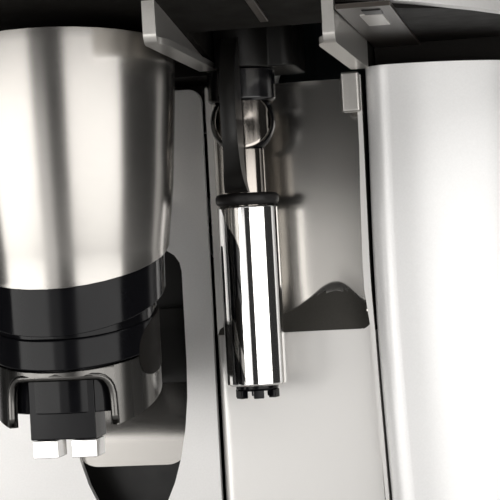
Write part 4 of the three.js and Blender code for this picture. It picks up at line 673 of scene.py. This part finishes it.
def makeCasing(s, name, node, side):
    bm = bmesh.new()
    addBlock(bm, (s["inner"], s["front"], s["low"]), (s["side"], s["rear"], s["high"]))
    for x, y, (radius, segments) in (
        (s["inner"], s["front"], s["nearRound"]), (s["side"], s["front"], s["cornerRound"]),
        (s["side"], s["rear"], s["rearRound"]),
    ):
        corner = [e for e in bm.edges
                  if all(abs(v.co.x - x) < s["slack"] and abs(v.co.y - y) < s["slack"] for v in e.verts)]
        bmesh.ops.bevel(bm, geom=corner, offset=radius, offset_type="OFFSET", segments=segments, profile=0.5,
                        affect="EDGES", material=-1)
    # only the front, the outer side and two narrow returns are kept
    level = [f for f in bm.faces if abs(f.normal.z) > abs(f.normal.x) + abs(f.normal.y)]
    bmesh.ops.delete(bm, geom=level, context="FACES")
    cutPlane(bm, (0, s["returnEnd"], 0), (0, 1, 0))
    cutPlane(bm, (s["lipEnd"], 0, 0), (1, 0, 0))
    gone = []
    for face in bm.faces:
        x, y, _ = face.calc_center_median()
        beyondReturn = x < s["inner"] + s["slack"] and y > s["returnEnd"]
        beyondLip = y > s["rear"] - s["slack"] and x < s["lipEnd"]
        if beyondReturn or beyondLip:
            gone.append(face)
    bmesh.ops.delete(bm, geom=gone, context="FACES")
    upright = [e for e in bm.edges if e.verts[0].co.z != e.verts[1].co.z]
    bmesh.ops.subdivide_edges(bm, edges=upright, cuts=s["cuts"])
    # the inner edge leans, and less and less of that reaches round the large corner
    straight = s["inner"] + s["nearRound"][0]
    for v in bm.verts:
        if v.co.y < 0:
            share = min(1, (s["side"] - v.co.x) / (s["side"] - straight))
            v.co.x += share * (valueAt(s["edgeLine"], v.co.z) - s["inner"])
    thicken(bm, (1, 0, 0), s["wall"])
    if side < 0:
        bmesh.ops.scale(bm, vec=(-1, 1, 1), verts=bm.verts)
    finishPiece(bm, name, "casingSilver", "housing", [node], edge=0.4, segments=2, angle=50)


makeCasing(casingSet, "casingRight", "side_panel_right", 1)
# the left one isn't in the photo: its edge is straight and clears the open door
makeCasing({**casingSet, "edgeLine": [(14.9, 94.8), (293.8, 90.7)]}, "casingLeft", "side_panel_left", -1)
print("casings made")


# The slide in the door: a black shoe and a silver scoop below it
slideSet = {
    "half": 20.6, "front": -74.7, "rear": -66.1, "shoeLow": 187.5, "shoeTop": 215, "shoeThick": 2,
    "armHalf": 10, "armFront": -113.5, "armLow": 190, "armTop": 208.6,
    "scoopLow": 160, "scoopTop": 188.5, "wall": 2, "rows": 24, "corner": 8, "cornerSteps": 10,
    "curve": 6.4, "curveFrom": 0.3, "curvePower": 1.8,
}


def makeShoe(s):
    bm = bmesh.new()
    addBlock(bm, (-s["half"], s["rear"] - s["shoeThick"], s["shoeLow"]),
             (s["half"], s["rear"], s["shoeTop"]))
    addBlock(bm, (-s["armHalf"], s["armFront"], s["armLow"]), (s["armHalf"], s["rear"], s["armTop"]))
    finishPiece(bm, "slideShoe", "softBlack", "dispenser", edge=0.6)


def makeScoop(s):
    bm = bmesh.new()
    half, low, top = s["half"], s["scoopLow"], s["scoopTop"]
    outline = ((-half, low), (half, low), (half, top), (-half, top))
    corners = [bm.verts.new((x, s["front"], z)) for x, z in outline]
    bm.faces.new(corners)
    bmesh.ops.bevel(bm, geom=corners[:2], offset=s["corner"], segments=s["cornerSteps"], profile=0.5,
                    affect="VERTICES", material=-1)
    for i in range(1, s["rows"]):
        cutPlane(bm, (0, 0, low + (top - low) * i / s["rows"]), (0, 0, 1))
    for v in bm.verts:
        share = max(0, (v.co.z - low) / (top - low) - s["curveFrom"]) / (1 - s["curveFrom"])
        v.co.y += s["curve"] * share ** s["curvePower"]
    thicken(bm, (0, -1, 0), s["wall"])
    finishPiece(bm, "slideScoop", "silver", "dispenser", ["dispenser_carriage"], edge=0.5, angle=50)


makeShoe(slideSet)
makeScoop(slideSet)
print("slide made")


# The ring and the chrome hood of the spout, cut at the slope of the collar
spoutSet = {
    "centre": (0, -140), "radius": 26.4, "wall": 3.0,
    # each sloping cut has its height at the centre and its rise towards the rear
    "hoodLow": (190.8, 0.39), "hoodTop": (205.7, 0.222), "ringLow": (206.2, 0.222), "ringTop": (215.8, 0.222),
    # half of the arch, X and height, and the X of the hood's columns there
    "arch": [(0, 198.5), (10.9, 198.45), (12.8, 198.3), (14.3, 197.7), (15.5, 196.5), (16.3, 194.9),
             (16.7, 192.8), (16.85, 190.5), (16.95, 186), (17.0, 170)],
    "columns": [0, 2.5, 5, 7.5, 10, 10.9, 11.8, 12.8, 13.6, 14.3, 15, 15.5, 16, 16.3, 16.5, 16.7, 16.85, 16.95,
                17.0],
    "columnsBehind": 48, "rows": 8, "weld": 0.001,
    "rim": (1.3, 0.9), "rimLow": 183.4, "rimSides": 16, "ringInner": 24.2, "ringOuter": (26.6, 26.6),
    "sleeve": 26.0, "sleeveLow": 210, "sleeveTop": 258, "core": 22.6, "coreLow": 187, "coreTop": 206,
    "snout": ((-10.4, -161, 179), (10.4, -148.5, 200)),
}


def makeHood(s):
    (cx, cy), r = s["centre"], s["radius"]
    turns = [math.asin(x / r) for x in s["columns"]]
    behind = math.pi - turns[-1]
    turns += [turns[-1] + behind * (i + 1) / s["columnsBehind"] for i in range(s["columnsBehind"])]
    turns = [-a for a in turns[:0:-1]] + turns
    bm = bmesh.new()
    bmesh.ops.create_grid(bm, x_segments=len(turns) - 1, y_segments=s["rows"], size=1)
    for v in bm.verts:
        turn = turns[round((v.co.x + 1) / 2 * (len(turns) - 1))]
        share = (v.co.y + 1) / 2
        x, y = r * math.sin(turn), -r * math.cos(turn)
        low = s["hoodLow"][0] + s["hoodLow"][1] * y
        top = s["hoodTop"][0] + s["hoodTop"][1] * y
        if y < 0 and abs(x) <= s["arch"][-1][0] + s["weld"]:
            low = max(low, valueAt(s["arch"], abs(x)))
        v.co = (cx + x, cy + y, low + (top - low) * share)
    bmesh.ops.remove_doubles(bm, verts=bm.verts, dist=s["weld"])
    thicken(bm, (-1, 0, 0), s["wall"])
    finishPiece(bm, "chromeSkirt", "darkChrome", "dispenser", ["chrome_hood"], edge=0.3, segments=2,
                angle=50)


def makeArchRim(s):
    (cx, cy), (r, inside) = s["centre"], s["rim"]
    half = [p for p in s["arch"] if p[1] > s["rimLow"]] + [(s["arch"][-1][0], s["rimLow"])]
    line = [(-x, z) for x, z in half[:0:-1]] + half
    rings = []
    for i, (x, z) in enumerate(line):
        (xa, za), (xb, zb) = line[max(i - 1, 0)], line[min(i + 1, len(line) - 1)]
        turn = math.asin(x / s["radius"])
        out = Vector((math.sin(turn), -math.cos(turn), 0))
        along = Vector((math.cos(turn), math.sin(turn), 0)) * (xb - xa) + Vector((0, 0, zb - za))
        across = along.normalized().cross(out)
        middle = out * (s["radius"] - inside) + Vector((cx, cy, z))
        angles = [2 * math.pi * k / s["rimSides"] for k in range(s["rimSides"])]
        rings.append([middle + r * (out * math.cos(a) + across * math.sin(a)) for a in angles])
    finishPiece(loftRings(rings), "archRim", "darkChrome", "dispenser")


def slopedRing(centre, inner, outer, low, top):
    bm = spinProfile([(inner, 0), (outer[0], 0), (outer[1], 1), (inner, 1)], centre)
    for v in bm.verts:
        y = v.co.y - centre[1]
        bottom = low[0] + low[1] * y
        v.co.z = bottom + (top[0] + top[1] * y - bottom) * v.co.z
    return bm


def makeSpout(s):
    ring = slopedRing(s["centre"], s["ringInner"], s["ringOuter"], s["ringLow"], s["ringTop"])
    finishPiece(ring, "spoutRing", "black", "dispenser", edge=0.6)
    profile = [
        (0, s["coreLow"]), (s["core"], s["coreLow"]), (s["core"], s["coreTop"]), (s["sleeve"], s["sleeveLow"]),
        (s["sleeve"], s["sleeveTop"]), (0, s["sleeveTop"]),
    ]
    core = spinProfile(profile, s["centre"], closed=False)
    addBlock(core, *s["snout"])
    finishPiece(core, "spoutCore", "black", "dispenser", ["spout_housing"], edge=0.4, segments=2)


# The dark ovals on the hood's sides: turn and halfTurn are degrees round the hood
ovalSet = {
    "turn": 93, "halfTurn": 31.5, "middle": 207.3, "half": 8.9, "tilt": 0.3, "power": 2.7, "proud": 0.3,
    "deep": 1.6, "insets": (0.12, 0.2, 0.25, 0.25),
}


def makeOval(s, name, centre, radius, side):
    bm = bmesh.new()
    bmesh.ops.create_circle(bm, cap_ends=True, segments=64, radius=1)
    insetRings(bm, s["insets"])
    reach = radius + s["proud"]
    for v in bm.verts:
        far, at = v.co.xy.length, math.atan2(v.co.y, v.co.x)
        wide, high = (math.copysign(abs(f(at)) ** (2 / s["power"]), f(at)) for f in (math.cos, math.sin))
        turn = math.radians(s["turn"] + s["halfTurn"] * wide * far)
        x, y = side * reach * math.sin(turn), -reach * math.cos(turn)
        v.co = (centre[0] + x, centre[1] + y, s["middle"] + s["half"] * high * far + s["tilt"] * y)
    thicken(bm, (side, 0, 0), s["deep"])
    finishPiece(bm, name, "ceilingGrey", "dispenser", edge=0.2, segments=2, angle=50)


makeHood(spoutSet)
makeArchRim(spoutSet)
makeSpout(spoutSet)
for name, side in (("hoodOvalRight", 1), ("hoodOvalLeft", -1)):
    makeOval(ovalSet, name, spoutSet["centre"], spoutSet["radius"], side)
print("spout made")


# The collar under the column; its lower edge is a little steeper than the column's
collarSet = {
    "centre": (0, -140), "inner": 27.6, "outer": (29.2, 29.4), "low": (222.2, 0.388), "top": (235.0, 0.32),
}


def makeCollar(s):
    bm = slopedRing(s["centre"], s["inner"], s["outer"], s["low"], s["top"])
    finishPiece(bm, "columnCollar", "black", "door", ["dispenser_collar"], edge=0.3, segments=2)


makeCollar(collarSet)
print("collar made")


# The ceiling: to the right of the bay it lies flat and a little higher
ceilingSet = {
    "edge": 92.15, "strip": 0.1, "flat": 302.6, "bend": -165, "rise": 0.2, "plate": 3, "below": 310,
    "cuts": (-165, -150, -130, -110), "weld": 0.01, "sameFace": 0.5,
    # the slope that it has in the CAD: its height, its rise and the Y where that begins
    "slope": (294.1, 0.13, -90), "halfPlate": 1.5,
    "rearBlock": ((92.9, -70.5, 293.2), (155.5, -66.5, 304)),
}


def makeCeiling(s):
    node = nodes["console_underside"]
    bm = bmesh.new()
    bm.from_mesh(node.data)
    bmesh.ops.transform(bm, matrix=Matrix.Scale(1 / mm, 4) @ node.matrix_world, verts=bm.verts)
    bmesh.ops.remove_doubles(bm, verts=bm.verts, dist=s["weld"])
    bmesh.ops.dissolve_limit(bm, angle_limit=math.radians(s["sameFace"]), verts=bm.verts, edges=bm.edges)
    for x in (s["edge"], s["edge"] + s["strip"]):
        cutPlane(bm, (x, 0, 0), (1, 0, 0))
    for y in s["cuts"]:
        cutPlane(bm, (0, y, 0), (0, 1, 0))
    height, rise, start = s["slope"]
    for v in bm.verts:
        if v.co.x > s["edge"] + s["strip"] / 2 and v.co.z < s["below"]:
            upper = v.co.z > height + rise * max(0, start - v.co.y) + s["halfPlate"]
            v.co.z = s["flat"] + max(0, s["bend"] - v.co.y) * s["rise"] + (s["plate"] if upper else 0)
    addBlock(bm, *s["rearBlock"])
    finishPiece(bm, "bayCeiling", "ceilingGrey", "housing", ["console_underside"], edge=0.4,
                segments=2, angle=40)


# On the ceiling: a plate beside the right fin, with a bright window and a slot, and a rib over the bay
fittingSet = {
    # name: finish, slot, low corner, high corner
    "bracketPlate": ("bracketGrey", "silver", (92.9, -180, 301.7), (108.8, -67, 303.2)),
    "brightWindow": ("satinFin", "silver", (98.2, -164, 301.2), (105, -138, 302.2)),
    "darkSlot": ("softBlack", "black", (99.8, -174, 301.3), (105.4, -164.2, 302.2)),
}
ribSet = {"left": 67.8, "width": 2.6, "side": [(-188, 306.9), (-160, 303.3), (-160, 302.1), (-188, 305.7)]}


def makeFitting(name, finish, slotName, low, high):
    bm = bmesh.new()
    addBlock(bm, low, high)
    finishPiece(bm, name, finish, "housing", edge=0.3, segments=2)


def makeRib(s):
    bm = bmesh.new()
    extrudeFace(bm, [(s["left"], y, z) for y, z in s["side"]], (s["width"], 0, 0))
    finishPiece(bm, "ceilingRib", "bracketGrey", "housing", edge=0.3, segments=2)


makeCeiling(ceilingSet)
for name, values in fittingSet.items():
    makeFitting(name, *values)
makeRib(ribSet)

# The two fins that hang from the ceiling, each with a lip towards the bay
finSet = {
    "lip": 2.4, "lipHigh": 2.0, "lipLeast": 0.05, "round": 3.2, "noseSteps": 6, "steps": 14, "soft": 0.9,
}
finSides = {
    # top holds the upper edge's height by Y; side is +1 where the lip points towards +X
    "finRight": {
        "node": "bay_fin_right", "x": 92.3, "side": -1, "thick": 3.5, "low": 292.7, "front": -178, "rear": -92,
        "drift": 0.4, "lipFrom": -174, "top": [(-178, 305.2), (-165, 303.6), (-160, 303.2), (-92, 303.2)],
    },
    "finLeft": {
        "node": "bay_fin_left", "x": 38.4, "side": 1, "thick": 3.8, "low": 294.4, "front": -190, "rear": -104,
        "drift": -1.0, "lipFrom": -186, "top": [(-190, 307.2), (-104, 296.2)],
    },
}


def makeFin(name, s):
    t, lip, low, bend = s["thick"], s["lip"], s["low"], s["front"] + s["round"]
    nose, steps = s["noseSteps"], s["steps"]
    stations = [bend - s["round"] * math.cos(math.pi / 2 * i / nose) for i in range(nose + 1)]
    stations += [bend + (s["rear"] - bend) * (i + 1) / steps for i in range(steps)]
    # across and height, with no height at the upper edge
    over = low + s["lipHigh"]
    section = [(0, low), (t + lip, low), (t + lip, over), (t, over), (t, None), (0, None)]
    rings = []
    for y in stations:
        rise = s["round"] - math.sqrt(s["round"] ** 2 - min(s["round"], max(0, bend - y)) ** 2)
        lipNow = max(s["lipLeast"], lip - max(0, s["lipFrom"] - y))
        drift = s["drift"] * (y - s["front"]) / (s["rear"] - s["front"])
        rings.append([(s["x"] + s["side"] * min(across, t + lipNow) + drift, y,
                       valueAt(s["top"], y) if z is None else z + rise) for across, z in section])
    finishPiece(loftRings(rings), name, "satinFin", "housing", [s["node"]], s["soft"], segments=4,
                angle=50)


for name, values in finSides.items():
    makeFin(name, {**finSet, **values})
print("ceiling made")


# The floor is no wider than the light needs, because the column mirrors its edge
floorSet = {"radius": 1.8, "segments": 96, "colour": (0.86, 0.86, 0.855), "rough": (0.55, 0.65), "cloud": 3}


def makeFloor(s):
    mesh = bpy.data.meshes.new("floor")
    bm = bmesh.new()
    bmesh.ops.create_circle(bm, cap_ends=True, segments=s["segments"], radius=s["radius"])
    bm.to_mesh(mesh)
    bm.free()
    obj = bpy.data.objects.new("floor", mesh)
    bpy.context.collection.objects.link(obj)
    mat, shader = newMaterial("paleFloor", s["colour"], sum(s["rough"]) / 2, 0)
    varyRoughness(mat, shader, objectNoise(mat, s["cloud"]), *s["rough"])
    mesh.materials.append(mat)


makeFloor(floorSet)
print("floor made")
